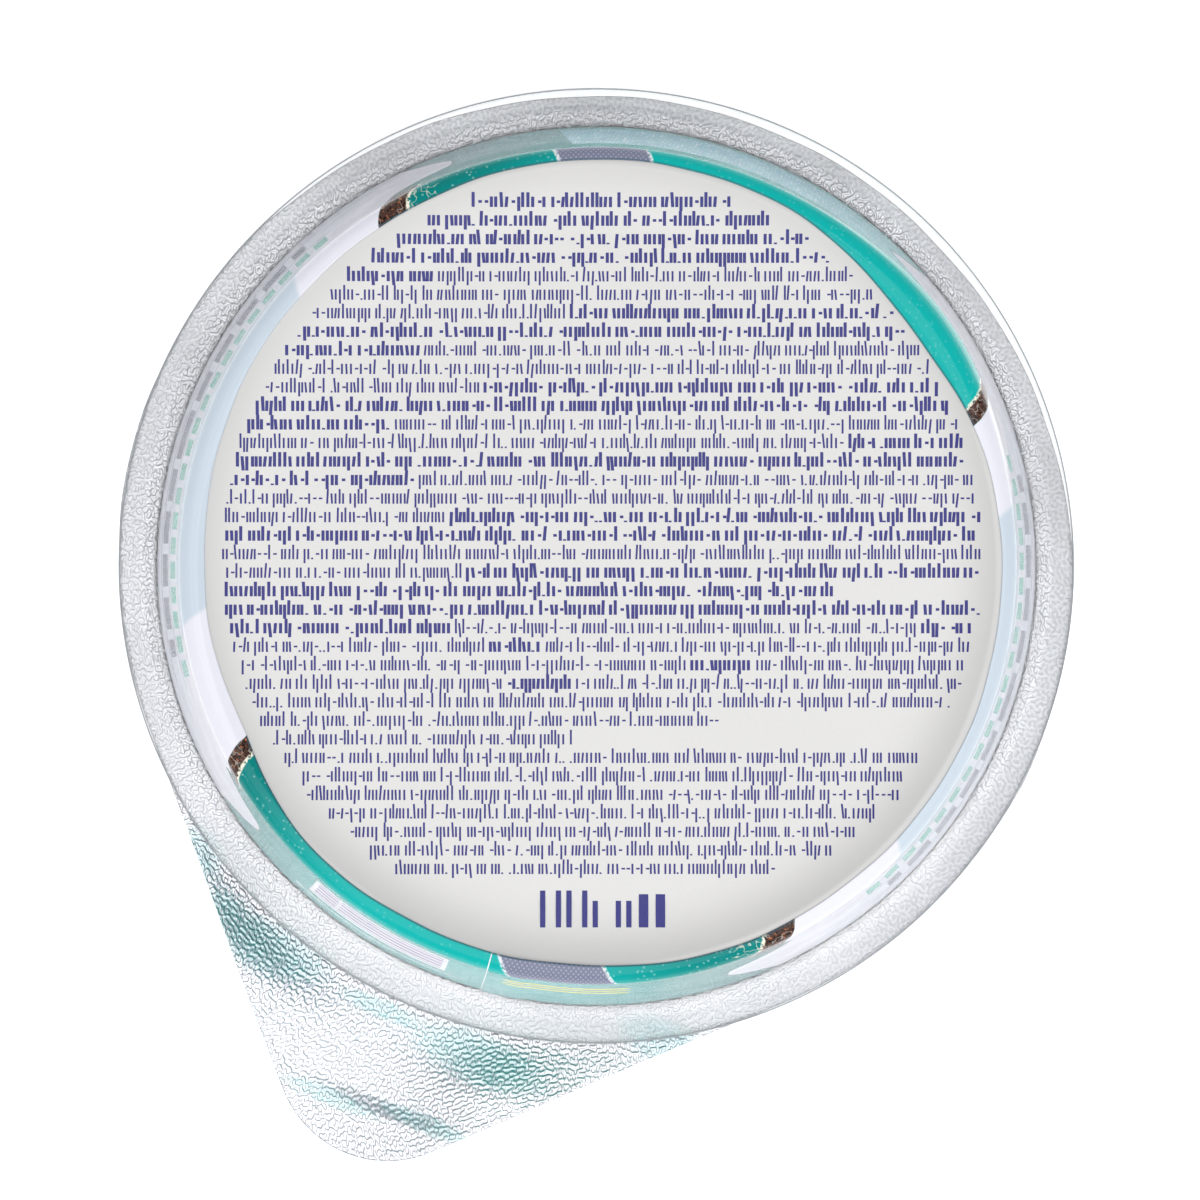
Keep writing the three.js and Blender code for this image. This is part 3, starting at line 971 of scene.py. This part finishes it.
class FilmPrint:
    """What the sleeve's print is drawn from, as fields in a material's node tree.

    x is the angle from the nearer teal field's middle in degrees, and s the length along the film. far is 1
    on the second field's half of the pot, side is 1 where x is above 0, and on_corner is 1 beyond the
    corner's start.
    """

    # Middle of the near field, in degrees round the pot. The far field lies opposite.
    field_middle = 95.7
    # Lengths along the film where its corner starts and where it ends on the base
    corner_start, film_end = 20.0, 25.6
    # Half the width of a sharp edge's blur, in degrees or millimetres
    sharp = 0.1
    # Rows on the ground, as lengths from and to: dashes, smaller dashes, specks and two thin lines
    dash_row, mint_row, speck_row = (5.0, 11.0), (14.0, 19.6), (22.2, 23.6)
    line_rows = ((3.4, 4.0), (12.0, 12.5))
    # Where the dashes' columns start and how far apart they are, in degrees
    first_column, column_pitch = 66.0, 5.7
    # The far field's arcs, each as its length from the first, and where its blur starts and ends
    arcs = ((0.0, 0.75, 0.4), (2.4, 0.7, 0.35), (4.7, 0.8, 0.4))
    # Fixed colours: edges and dashes, the fields' glitter, the panel's sparkle, the patches' dots, the
    # ribbons' cracks and pale edge, and the painted shadow where the film ends
    white, glitter, sparkle = (0.9, 0.91, 0.94), (0.42, 0.75, 0.74), (0.88, 0.94, 0.96)
    slate_dots, crackle_line, pale_edge = (0.42, 0.43, 0.5), (0.62, 0.56, 0.5), (0.82, 0.8, 0.66)
    end_shadow_colour = (0.03, 0.09, 0.12)

    def __init__(self, tree, sleeve):
        self.tree = tree
        self.sleeve = sleeve
        self.where, across, along = object_place(tree)
        self.angle = along.math("ARCTAN2", across).math("DEGREES")
        self.s = attribute_field(tree, "film_reach")
        self.fleck = noise(tree, self.where, 3.4, roughness=0.6)
        inputs = {"Vector": self.where, "Scale": 2.6 * MM}
        cell = add_node(tree, "ShaderNodeTexVoronoi", inputs, feature="F1")
        parts = add_node(tree, "ShaderNodeSeparateColor", {0: cell.outputs["Color"]})
        self.glint = Field(tree, parts.outputs[0])
        self.dot = Field(tree, cell.outputs["Distance"]).step(0.42, 0.2)
        self.crack = (noise(tree, self.where, 0.9, detail=1.5) - 0.5).size().step(0.018, 0.006)
        turned = self.angle - self.field_middle
        self.x = turned.wrap(-90.0, 90.0)
        self.away = self.x.size()
        self.side = self.x.step(-0.5, 0.5)
        self.far = turned.wrap(-180.0, 180.0).size().step(89.9, 90.1)
        self.on_corner = self.s.step(self.corner_start, self.corner_start + 1.5)
        self.inside = self.depth_in_field()
        self.in_field = self.inside.step(-self.sharp, self.sharp)
        panel_edge = self.x + self.s * 0.09 - 22.75
        panel_rows = self.s.within(1.6, 19.0, 0.3) * (1.0 - self.far)
        self.frosted = panel_edge.step(0.12, -0.12) * self.x.step(-40.0, -8.0) * panel_rows

    def over(self, colour, *coats):
        """A colour with coats painted over it, each given as its colour and its mask."""
        for coat, mask in coats:
            colour = paint(self.tree, colour, coat, mask)
        return colour

    def depth_in_field(self):
        """Degrees from a field's edge, above 0 inside it: half(s) - tongue(s) - |x|, and a waver.

        half(s) = start + rise (s / 25)^2 with a slight waist at the corner. The tongue is where the ground
        reaches into the field.
        """
        s, far, side = self.s, self.far, self.side
        half = (s * 0.04).math("POWER", 2.0) * 6.4 + 45.2 - far * (self.on_corner * 1.7 + 4.3)
        half = half - s.step(12.0, 18.0) * s.step(26.0, 22.5) * 1.1 + side * (far * 2.4 - 1.3)
        tongue = s.step(-2.0, 12.5) * s.step(19.8, 13.5) * 8.0
        tongue = tongue + s.step(15.5, 8.5) * (1.0 - side) * (1.0 - far) * 14.0
        waver = (noise(self.tree, self.where, 0.45) - 0.5) * 0.64
        return half - tongue - self.away + waver

    def ground(self):
        """The ground, bluer away from the fields, with two rows of dashes, two thin lines and specks."""
        sleeve, s, away = self.sleeve, self.s, self.away
        blue = (away - 61.0 - (s - self.corner_start) * 0.8).step(-0.5, 0.5)
        column = (away - self.first_column) / self.column_pitch
        bars = (column - column.math("ROUND")).size().step(0.39, 0.36) * away.step(60.0, 60.4)
        finer = column * 1.7 + 0.3
        pieces = (finer - finer.math("ROUND")).size().step(0.36, 0.32) * away.step(57.0, 57.4)
        pieces = pieces * (self.fleck.step(0.3, 0.4) * 0.4 + 0.6)
        lines = any_of([s.within(*row, self.sharp) for row in self.line_rows]) * away.step(55.0, 58.0)
        specks = self.dot * self.glint.step(0.8, 0.84) * away.step(66.0, 68.0)
        return self.over(
            sleeve.pale,
            (sleeve.ground, blue * (self.on_corner * 0.65 + 0.35)),
            (sleeve.dash, s.within(*self.dash_row, self.sharp) * bars * 0.9),
            (sleeve.dash, lines * 0.55),
            (sleeve.mint, s.within(*self.mint_row, self.sharp) * pieces),
            (sleeve.dash, s.within(*self.speck_row, 0.3) * specks),
        )

    def field(self):
        """A teal field, darker towards its ends, with glitter, and with painted light that makes it paler
        low down on the near side.
        """
        sleeve, far = self.sleeve, self.far
        shade = (self.x.step(8.0, 40.0) + self.x.step(-16.0, -44.0) * far).least(1.0)
        return self.over(
            sleeve.teal,
            (dim(sleeve.teal, 0.5), shade),
            # Painted light: the pale ground mixed into the field low down on the near side's wall
            (sleeve.pale, self.s.step(self.corner_start, 13.0) * (1.0 - far) * 0.3),
            (self.glitter, self.dot * self.glint.step(0.62, 0.8) * (shade * 0.3 + 0.12)),
        )

    def panels(self, field):
        """The near field's glittering panel, and the far field's striped panel, white dashes and arcs."""
        sleeve, x, s, far = self.sleeve, self.x, self.s, self.far
        frost = self.over(sleeve.frost, (self.sparkle, self.dot * self.glint.step(0.35, 0.6)))
        framed = x.within(-24.0, -2.9, self.sharp) * s.within(6.6, 20.6, 0.15) * far
        ruled = (s * 2.2).sine().step(-0.1, 0.6).most((x + 19.6).size().step(0.35, 0.2))
        striped = x.within(-23.3, -3.6, self.sharp) * s.within(8.0, 19.4, 0.15) * (1.0 - ruled * 0.8)
        dashes = s.within(2.6, 4.6, 0.2) * x.within(-26.0, -0.5, 0.3) * self.fleck.step(0.46, 0.52)
        bow = s - 14.4 + x * 0.06
        bows = any_of([(bow - rise).size().step(start, end) for rise, start, end in self.arcs])
        return self.over(
            field,
            (frost, self.frosted),
            (self.over(sleeve.panel, (sleeve.stripe, striped)), framed),
            (self.white, dashes * far * 0.8),
            (sleeve.yellow, bows * x.within(5.0, 22.0, 0.9) * far),
        )

    def patch(self, field):
        """A slate patch with white edges and a grid of fine dots, on each field's corner."""
        inward = self.film_end - self.s
        offset = self.x - 16.4 + self.far * 5.3 - inward * (self.far * 0.4 + 0.45)
        reach = self.far * 0.95 + 6.6 - inward * 0.1
        low_edge = self.s.step(23.3, 23.6)
        grid = (self.angle * 9.0).sine() * (self.s * 11.0).sine()
        slate = self.over(self.sleeve.slate, (self.slate_dots, grid.step(0.2, 0.7) * 0.6))
        worn = self.fleck.step(0.42, 0.54) * 0.7 + 0.15
        edge = (offset.size() - reach).size().step(0.4, 0.15) * worn
        return self.over(
            field,
            (slate, (reach - offset.size()).step(-self.sharp, self.sharp) * low_edge),
            (self.white, edge * low_edge * 0.85),
        )

    def ribbons(self, colour):
        """Brown flecked ribbons along the fields' edges, with a pale crackled line on their inner side."""
        sleeve, fleck = self.sleeve, self.fleck
        width = self.s.step(17.0, 21.5) * (self.side * 2.2 + 2.1) + 0.5
        beyond = self.inside - width
        ribbon = self.in_field * beyond.step(self.sharp, -self.sharp)
        brown = self.over(
            sleeve.brown,
            (sleeve.amber, fleck.step(0.6, 0.68)),
            (dim(sleeve.brown, 0.15), fleck.step(0.46, 0.4)),
            (self.crackle_line, self.crack * 0.45),
        )
        crackle = self.crack * beyond.within(0.0, 4.5, 0.3) * self.side * 0.55
        pale_line = beyond.size().step(0.4, 0.15) * fleck.step(0.4, 0.5)
        return self.over(
            colour,
            (brown, ribbon * (self.on_corner * 0.55 + 0.45)),
            (self.pale_edge, crackle.most(pale_line) * self.on_corner),
        )

    def edges(self, colour):
        """A white line along the seam's cut edge, and a painted shadow line on the fields where the film
        ends.
        """
        cut = (self.angle - (math.degrees(self.sleeve.seam) - 360.0)).within(-0.14, 0.02, 0.04)
        # Painted shadow: a dark line on the fields just inside the film's end
        painted_end_shadow = attribute_field(self.tree, "film_left").step(0.13, 0.07)
        return self.over(colour, (self.white, cut), (self.end_shadow_colour, painted_end_shadow * self.in_field * 0.6))


def print_material(sleeve):
    """The sleeve's glossy print: two teal fields on a pale ground, as FilmPrint draws them."""
    material, tree, shader = new_material("Printed film", IOR=1.5, Specular_IOR_Level=0.17)
    film_print = FilmPrint(tree, sleeve)
    field = film_print.patch(film_print.panels(film_print.field()))
    colour = film_print.over(film_print.ground(), (field, film_print.in_field))
    colour = film_print.edges(film_print.ribbons(colour))
    tree.links.new(colour, shader.inputs["Base Color"])
    uneven = unevenness(tree, 240.0, 1600.0)
    frosted = film_print.frosted
    feed(tree, shader.inputs["Roughness"], uneven.step(0.3, 0.7).to(0.1, 0.17) + frosted * 0.1)
    set_normal(tree, shader, uneven + film_print.dot * frosted * 0.5, 0.014)
    return material


# Fine puckers and soft ripples round the film, as (reach, count, turn in degrees)
PUCKERS = ((0.006, 41, 20), (0.005, 67, 130), (0.005, 97, 75), (0.003, 151, 10))
RIPPLES = ((0.02, 5, 30), (0.015, 9, 200), (0.01, 14, 80))
# The film's bulge off the wall: its height, its middle and width in degrees, and the same along the film
BULGE = (0.75, 58.0, 17.0, 21.5, 3.2)
# Room between the film's outer face and the nominal thickness, so that the puckers never thin it out
FILM_SLACK = 0.04
# Even columns round the film, and those added beside the seam, in degrees from it
FILM_COLUMNS = 760
SEAM_COLUMNS = np.array([-0.12, -0.04, 0.04, 0.12])


def make_sleeve_film(settings):
    """The shrunk film as one closed band: its outer face, a rounded lip on the base and its inner face.

    A column's rows follow FilmPath by the length s. The outer face's offset has the seam's overlap, a step
    up where it passes over the label's edge, and puckers: fine waves round the pot that fade down the wall.
    """
    sleeve = settings.sleeve
    pot = PotShape(settings.cup)
    path = FilmPath(pot, sleeve)
    film = sleeve.film * MM
    gap = sleeve.gap * MM
    seam = sleeve.seam
    near_seam = np.radians(SEAM_COLUMNS)
    even = np.arange(FILM_COLUMNS) * (2.0 * math.pi / FILM_COLUMNS)
    angle = np.sort(np.append(even, seam + near_seam))
    column = angle[:, None]
    end = path.end(column)

    past_seam = np.angle(np.exp(1j * (column - seam)))
    overlap = smoothstep(past_seam, -0.0012, 0.0012)
    overlap = overlap * (1.0 - smoothstep(past_seam, sleeve.overlap - 0.03, sleeve.overlap + 0.02))
    pucker, ripple = wander(PUCKERS, column), wander(RIPPLES, column)

    def rows(on_wall, on_corner):
        """Lengths s of a face's rows: even on the wall, then even from the corner to the film's end."""
        straight = np.linspace(path.low_end, path.wall_length, on_wall)[:-1] + 0.0 * column
        rounded = path.wall_length + (end - path.wall_length) * np.linspace(0.0, 1.0, on_corner)
        return np.concatenate([straight, rounded], axis=1)

    def inner_offset(s):
        """The gap, the lift where the film passes over the label's edge, and the bulge."""
        over_label = smoothstep(s, path.corner_length - 0.15, path.corner_length + 0.35)
        lift = over_label * (settings.label.thickness * MM - gap + 0.03)
        height, middle, width, length_middle, length_width = BULGE
        along = np.exp(-(((s - length_middle) / length_width) ** 2))
        return gap + lift + height * hump(column, middle, width) * along

    def outer_offset(s):
        """The inner face's offset and the film's thickness, more at the overlap, with the fine waves."""
        waves = pucker * (0.25 + np.exp(-np.maximum(end - s, 0.0) / 1.3)) + ripple * 0.5
        return inner_offset(s) + film + 0.8 * film * overlap + waves + FILM_SLACK

    outer_s = rows(42, 30)
    inner_s = rows(24, 12)[:, ::-1]
    lip_turns = np.linspace(math.pi / 2, -math.pi / 2, 7)[1:-1]
    lip_s = end + 0.5 * film * np.cos(lip_turns)
    middle = 0.5 * (outer_offset(end) + inner_offset(end))
    half = 0.5 * (outer_offset(end) - inner_offset(end))
    lip_offset = middle + half * np.sin(lip_turns)
    s = np.concatenate([outer_s, lip_s, inner_s], axis=1)
    offset = np.concatenate([outer_offset(outer_s), lip_offset, inner_offset(inner_s)], axis=1)
    radius, height = path.place(s, offset)
    points = around(radius, height, column).reshape(-1, 3)
    index = np.arange(s.size).reshape(s.shape)
    index = np.concatenate([index, index[:, :1]], axis=1)
    piece = make_piece("sleeve_film", points, [quads(closed(index))], [print_material(sleeve)])
    give_attribute(piece, "film_reach", s)
    give_attribute(piece, "film_left", end - s)
    place(piece, "sleeve_print", "printed_sleeve")


# The label on the base

def label_material(label):
    """A satin off-white ground with a faint fine grain, and painted shade that greys it towards its edge.
    """
    material, tree, shader = new_material("Label ground", IOR=1.5, Specular_IOR_Level=0.75)
    _, x, y = object_place(tree)
    uneven = unevenness(tree, 90.0, 4200.0)
    ground = paint(tree, dim(label.paper, 0.955), label.paper, uneven.step(0.3, 0.65))
    # Painted shade: the ground is darkened towards its edge
    edge = (x * x + y * y).math("SQRT").step(33.0, 38.8)
    ground = paint(tree, ground, dim(label.paper, 0.84), edge)
    tree.links.new(ground, shader.inputs["Base Color"])
    feed(tree, shader.inputs["Roughness"], uneven.step(0.3, 0.7).to(0.38, 0.5))
    set_normal(tree, shader, uneven, 0.012)
    return material


def ink_material(label):
    """Dark ink, a little thinner here and there."""
    material, tree, shader = new_material("Label ink", IOR=1.45)
    uneven = unevenness(tree, 300.0, 5200.0)
    thin = tuple(part + 0.02 for part in label.ink)
    tree.links.new(paint(tree, label.ink, thin, uneven.step(0.45, 0.75)), shader.inputs["Base Color"])
    feed(tree, shader.inputs["Roughness"], uneven.step(0.3, 0.7).to(0.34, 0.46))
    return material


def label_offset(label, pot, radius):
    """Height of the label's face above the cup's base: full inside, thin where the film lies over it."""
    full, thin = label.thickness * MM, 0.035
    return thin + (full - thin) * (1.0 - smoothstep(radius, pot.corner_x - 0.35, pot.corner_x - 0.02))


def make_base_label(settings):
    """The label's ground, a turned disc that follows the dished base and the first part of its corner."""
    label = settings.label
    pot = PotShape(settings.cup)
    under_film = 1.0
    flat_radii = np.linspace(0.0, pot.dish_radius, 6)
    risen_radii = np.linspace(pot.dish_radius, pot.corner_x + under_film, 40)[1:]
    radii = np.concatenate([flat_radii, risen_radii])
    face = np.stack([radii, pot.base_height(radii) + label_offset(label, pot, radii)], axis=1)
    back = np.stack([radii[::-1], pot.base_height(radii[::-1]) + 0.01], axis=1)
    profile = np.concatenate([face, back])
    piece = turned_solid("base_label_disc", profile, 360, [label_material(label)])
    place(piece, "label_print", "base_label")


# Rows whose strokes are heavy, as (row, from, to), where a row runs from -1 to 1
HEAVY_SPANS = (
    (0, -1, 1), (1, -1, 1), (2, -1, 1), (3, -1, 1), (4, -1, -0.7), (6, -0.2, 1), (7, -1, 1), (8, -1, -0.75),
    (10, -0.4, 1), (11, -1, 1), (12, -1, -0.7), (13, 0.6, 1), (14, -1, 1), (15, -1, -0.65), (17, -0.5, 1),
    (18, -1, 1), (20, -0.5, 1), (21, -1, 1), (22, -1, 1), (23, -1, -0.45), (23, 0.75, 1), (24, -0.4, -0.3),
    (25, 0.2, 0.3), (26, -0.3, -0.2), (27, 0.4, 0.5), (28, 0.8, 1),
)
# Rows that stop early, with their end
SHORT_ROWS = {1: 0.96, 21: 0.62, 28: 0.33, 29: -0.09, 36: 0.82}
# The last rows end less evenly than those up to this one
EVEN_ROWS = 28
# Widths of a heavy and a thin stroke and their steps along the row, in millimetres
HEAVY_WIDTH, THIN_WIDTH = 0.3, 0.19
HEAVY_STEP, THIN_STEP = 0.43, 0.36
GROUP_GAP = 0.34
# The large bars below the rows: their place, width and share of the full height, which is BAR_HEIGHT
LARGE_BARS = (
    (-5.7, 0.5, 1.0), (-4.2, 0.5, 1.0), (-3.2, 0.5, 1.0), (-1.7, 0.5, 1.0), (-0.7, 0.5, 0.72),
    (1.5, 0.5, 0.72), (2.5, 0.5, 0.72), (3.9, 0.9, 0.9), (5.5, 0.9, 0.9),
)
BAR_HEIGHT, BAR_FOOT = 3.5, -34.7


def stroke_marks(label):
    """Centre, size and lean of every mark on the label, in millimetres along its rows.

    A row fills the chord of a circle. It is made of groups with gaps between them, and a group is made of
    upright strokes with a dash or a dot here and there. All are plain bars.
    """
    random = np.random.default_rng(41)
    block = label.block_radius * MM
    tall = label.stroke_height * MM
    marks = []
    for row in range(label.rows):
        y = label.first_row * MM - row * label.row_pitch * MM
        ragged = 1.2 if row > EVEN_ROWS else 0.4
        half = math.sqrt(block**2 - y**2) - ragged * random.random()
        stop = SHORT_ROWS.get(row, 1.0) * half
        along = -half
        while along < stop:
            heavy = any(row == r and low <= along / half < high for r, low, high in HEAVY_SPANS)
            count = min(int(random.integers(3, 17)), int((stop - along) / 0.3) + 1)
            width = HEAVY_WIDTH if heavy else THIN_WIDTH
            for _ in range(count):
                kind = random.random()
                step = (HEAVY_STEP if heavy else THIN_STEP) * (0.8 + 0.45 * random.random())
                rise, drop = tall, 0.0
                if kind < 0.16:
                    rise = tall * 1.42
                elif kind < 0.24:
                    drop = tall * 0.38
                elif kind < 0.3:
                    rise = tall * 0.16
                lean = 0.22 * (random.random() - 0.5) if random.random() < 0.3 else 0.0
                if 0.3 <= kind < 0.42:
                    marks.append((along + 0.16, y + tall * 0.52, 0.34, width * 0.85, 0.0))
                    step = step + 0.16
                else:
                    marks.append((along, y + 0.5 * (rise - drop), width, rise + drop, lean))
                along += step
                if along > stop:
                    break
            along += GROUP_GAP
    for along, width, rise in LARGE_BARS:
        tall = BAR_HEIGHT * rise
        marks.append((along, BAR_FOOT + 0.5 * tall, width, tall, 0.0))
    return np.array(marks)


def make_label_strokes(settings):
    """The rows of ink as thin closed boxes that follow the label's face.

    A box has its corners at centre + lean * v + (u, v), turned to the photograph's right and up. Its sole
    lies just inside the label and its face just above it.
    """
    label = settings.label
    pot = PotShape(settings.cup)
    marks = stroke_marks(label)
    corner_u = np.array([-0.5, 0.5, 0.5, -0.5])
    corner_v = np.array([-0.5, -0.5, 0.5, 0.5])
    v = marks[:, 3:4] * corner_v
    u = marks[:, 0:1] + marks[:, 2:3] * corner_u + marks[:, 4:5] * v + label.shift_right * MM
    v = marks[:, 1:2] + v + label.shift_up * MM
    flat = u[..., None] * PHOTO_RIGHT[:2] + v[..., None] * PHOTO_UP[:2]
    radius = np.hypot(flat[..., 0], flat[..., 1])
    face = pot.base_height(radius) + label_offset(label, pot, radius)
    sole = np.concatenate([flat, (face - 0.01)[..., None]], axis=2)
    cap = np.concatenate([flat, (face + label.ink_height * MM)[..., None]], axis=2)
    points = np.concatenate([sole, cap], axis=1).reshape(-1, 3)
    box = np.array([[3, 2, 1, 0], [4, 5, 6, 7], [0, 1, 5, 4], [1, 2, 6, 5], [2, 3, 7, 6], [3, 0, 4, 7]])
    faces = (np.arange(len(marks))[:, None, None] * 8 + box[None]).reshape(-1, 4)
    piece = make_piece("label_strokes", points, [faces], [ink_material(label)])
    piece.data.polygons.foreach_set("use_smooth", np.zeros(len(faces), dtype=bool))
    place(piece, "label_print")


# The stage

def floor_material(stage):
    """A plain pale floor that gives off a little light, so that its shadows stay pale."""
    material, _, _ = new_material(
        "Floor", Base_Color=stage.floor, Roughness=0.9, Specular_IOR_Level=0.1,
        Emission_Color=(1.0, 1.0, 1.0), Emission_Strength=stage.floor_glow,
    )
    return material


def make_floor(stage):
    """A flat square of the floor at z = 0."""
    half = 1.5
    corners = [(-half, -half, 0.0), (half, -half, 0.0), (half, half, 0.0), (-half, half, 0.0)]
    mesh = bpy.data.meshes.new("floor")
    mesh.from_pydata(corners, [], [(0, 1, 2, 3)])
    mesh.materials.append(floor_material(stage))
    floor = bpy.data.objects.new("floor", mesh)
    bpy.context.scene.collection.objects.link(floor)


# Each light's name, its azimuth and elevation in the photograph in degrees, its distance and size in metres
# and its power in watts
LIGHTS = (
    ("roof", 282, 76, 0.9, 1.14, 8.9),
    ("left_key", 225, 36, 0.9, 0.4, 0.6),
    ("right_key", 315, 36, 0.9, 0.4, 0.6),
)
# The point that the camera looks at, in millimetres, and how far it leans from straight above
CAMERA_TARGET = PHOTO_RIGHT * 0.35 - PHOTO_UP * 3.38 + np.array([0.0, 0.0, 1.0])
CAMERA_LEAN = PHOTO_RIGHT * -0.0045 + PHOTO_UP * 0.005


def make_light(name, azimuth, elevation, distance, size, power):
    """A square area light that looks at the pot, from angles given in the photograph."""
    light = bpy.data.lights.new(name, "AREA")
    light.shape = "SQUARE"
    light.size = size
    light.energy = power
    lamp = bpy.data.objects.new(name, light)
    flat = math.cos(math.radians(azimuth)) * PHOTO_RIGHT + math.sin(math.radians(azimuth)) * PHOTO_UP
    up = math.radians(elevation)
    direction = Vector(flat * math.cos(up)) + Vector((0.0, 0.0, math.sin(up)))
    lamp.location = direction * distance
    lamp.rotation_euler = direction.to_track_quat("Z", "Y").to_euler()
    lamp.visible_camera = False
    bpy.context.scene.collection.objects.link(lamp)


def make_camera(stage):
    """The camera looks down on the base, with the photograph's up direction at the top."""
    target = Vector(CAMERA_TARGET) / MM
    back = Vector(CAMERA_LEAN + np.array([0.0, 0.0, 1.0])).normalized()
    right = Vector(PHOTO_UP).cross(back).normalized()
    up = back.cross(right)
    data = bpy.data.cameras.new("camera")
    data.sensor_width = 36.0
    data.lens = data.sensor_width * stage.camera_distance / stage.picture_width
    data.clip_start = 0.05
    camera = bpy.data.objects.new("camera", data)
    turn_matrix = Matrix((right, up, back)).transposed().to_4x4()
    camera.matrix_world = Matrix.Translation(target + back * stage.camera_distance) @ turn_matrix
    bpy.context.scene.collection.objects.link(camera)
    bpy.context.scene.camera = camera


def make_sky(stage):
    """Nearly white light from all round, stronger from the sides than from above."""
    world = bpy.data.worlds.new("sky")
    world.use_nodes = True
    tree = world.node_tree
    background = next(node for node in tree.nodes if node.type == "BACKGROUND")
    background.inputs["Color"].default_value = (*linear(250, 251, 255), 1.0)
    direction = add_node(tree, "ShaderNodeTexCoord").outputs["Generated"]
    height = Field(tree, add_node(tree, "ShaderNodeSeparateXYZ", {0: direction}).outputs[2])
    feed(tree, background.inputs["Strength"], height.step(0.3, 0.95).to(stage.sky_low, stage.sky_high))
    bpy.context.scene.world = world


# Operators

class MakeFoilLid(Operator):
    """Make the embossed foil lid with its pull tab"""

    bl_idname = "yogurt_pot.make_foil_lid"
    bl_label = "Foil lid"

    def execute(self, context):
        make_foil_lid(context.scene.yogurt_pot)
        return {"FINISHED"}


class MakeClearCup(Operator):
    """Make the clear cup with its flange"""

    bl_idname = "yogurt_pot.make_clear_cup"
    bl_label = "Clear cup"

    def execute(self, context):
        make_clear_cup(context.scene.yogurt_pot)
        return {"FINISHED"}


class MakeYogurt(Operator):
    """Make the yogurt in the cup"""

    bl_idname = "yogurt_pot.make_yogurt"
    bl_label = "Yogurt"

    def execute(self, context):
        make_yogurt(context.scene.yogurt_pot)
        return {"FINISHED"}


class MakeSleeveFilm(Operator):
    """Make the printed film round the cup"""

    bl_idname = "yogurt_pot.make_sleeve_film"
    bl_label = "Sleeve film"

    def execute(self, context):
        make_sleeve_film(context.scene.yogurt_pot)
        return {"FINISHED"}


class MakeBaseLabel(Operator):
    """Make the label on the base and its rows of plain strokes"""

    bl_idname = "yogurt_pot.make_base_label"
    bl_label = "Base label"

    def execute(self, context):
        make_base_label(context.scene.yogurt_pot)
        make_label_strokes(context.scene.yogurt_pot)
        return {"FINISHED"}


class SetStage(Operator):
    """Set the floor, the lights, the sky and the camera"""

    bl_idname = "yogurt_pot.set_stage"
    bl_label = "Stage"

    def execute(self, context):
        stage = context.scene.yogurt_pot.stage
        make_floor(stage)
        make_sky(stage)
        for light in LIGHTS:
            make_light(*light)
        make_camera(stage)
        context.scene.view_settings.view_transform = "Standard"
        return {"FINISHED"}


class YogurtPotPanel(Panel):
    """Makes the pot's pieces one by one"""

    bl_idname = "VIEW3D_PT_yogurt_pot"
    bl_label = "Yogurt Pot"
    bl_space_type = "VIEW_3D"
    bl_region_type = "UI"
    bl_category = "Yogurt Pot"

    def draw(self, context):
        settings = context.scene.yogurt_pot
        for operator, group in PARTS:
            self.layout.operator(operator.bl_idname)
            part = getattr(settings, group)
            box = self.layout.box()
            for name in part.__annotations__:
                box.prop(part, name)


# Each operator, in order, with the settings that the panel lists under it
PARTS = (
    (MakeFoilLid, "lid"),
    (MakeClearCup, "cup"),
    (MakeYogurt, "contents"),
    (MakeSleeveFilm, "sleeve"),
    (MakeBaseLabel, "label"),
    (SetStage, "stage"),
)
CLASSES = (
    LidSettings,
    CupSettings,
    ContentsSettings,
    SleeveSettings,
    LabelSettings,
    StageSettings,
    PotSettings,
    *(operator for operator, _ in PARTS),
    YogurtPotPanel,
)


def register():
    for item in CLASSES:
        bpy.utils.register_class(item)
    bpy.types.Scene.yogurt_pot = PointerProperty(type=PotSettings)


def unregister():
    del bpy.types.Scene.yogurt_pot
    for item in reversed(CLASSES):
        bpy.utils.unregister_class(item)


def main():
    register()
    bpy.ops.yogurt_pot.set_stage()
    bpy.ops.yogurt_pot.make_foil_lid()
    bpy.ops.yogurt_pot.make_clear_cup()
    bpy.ops.yogurt_pot.make_yogurt()
    bpy.ops.yogurt_pot.make_sleeve_film()
    bpy.ops.yogurt_pot.make_base_label()


if __name__ == "__main__":
    main()
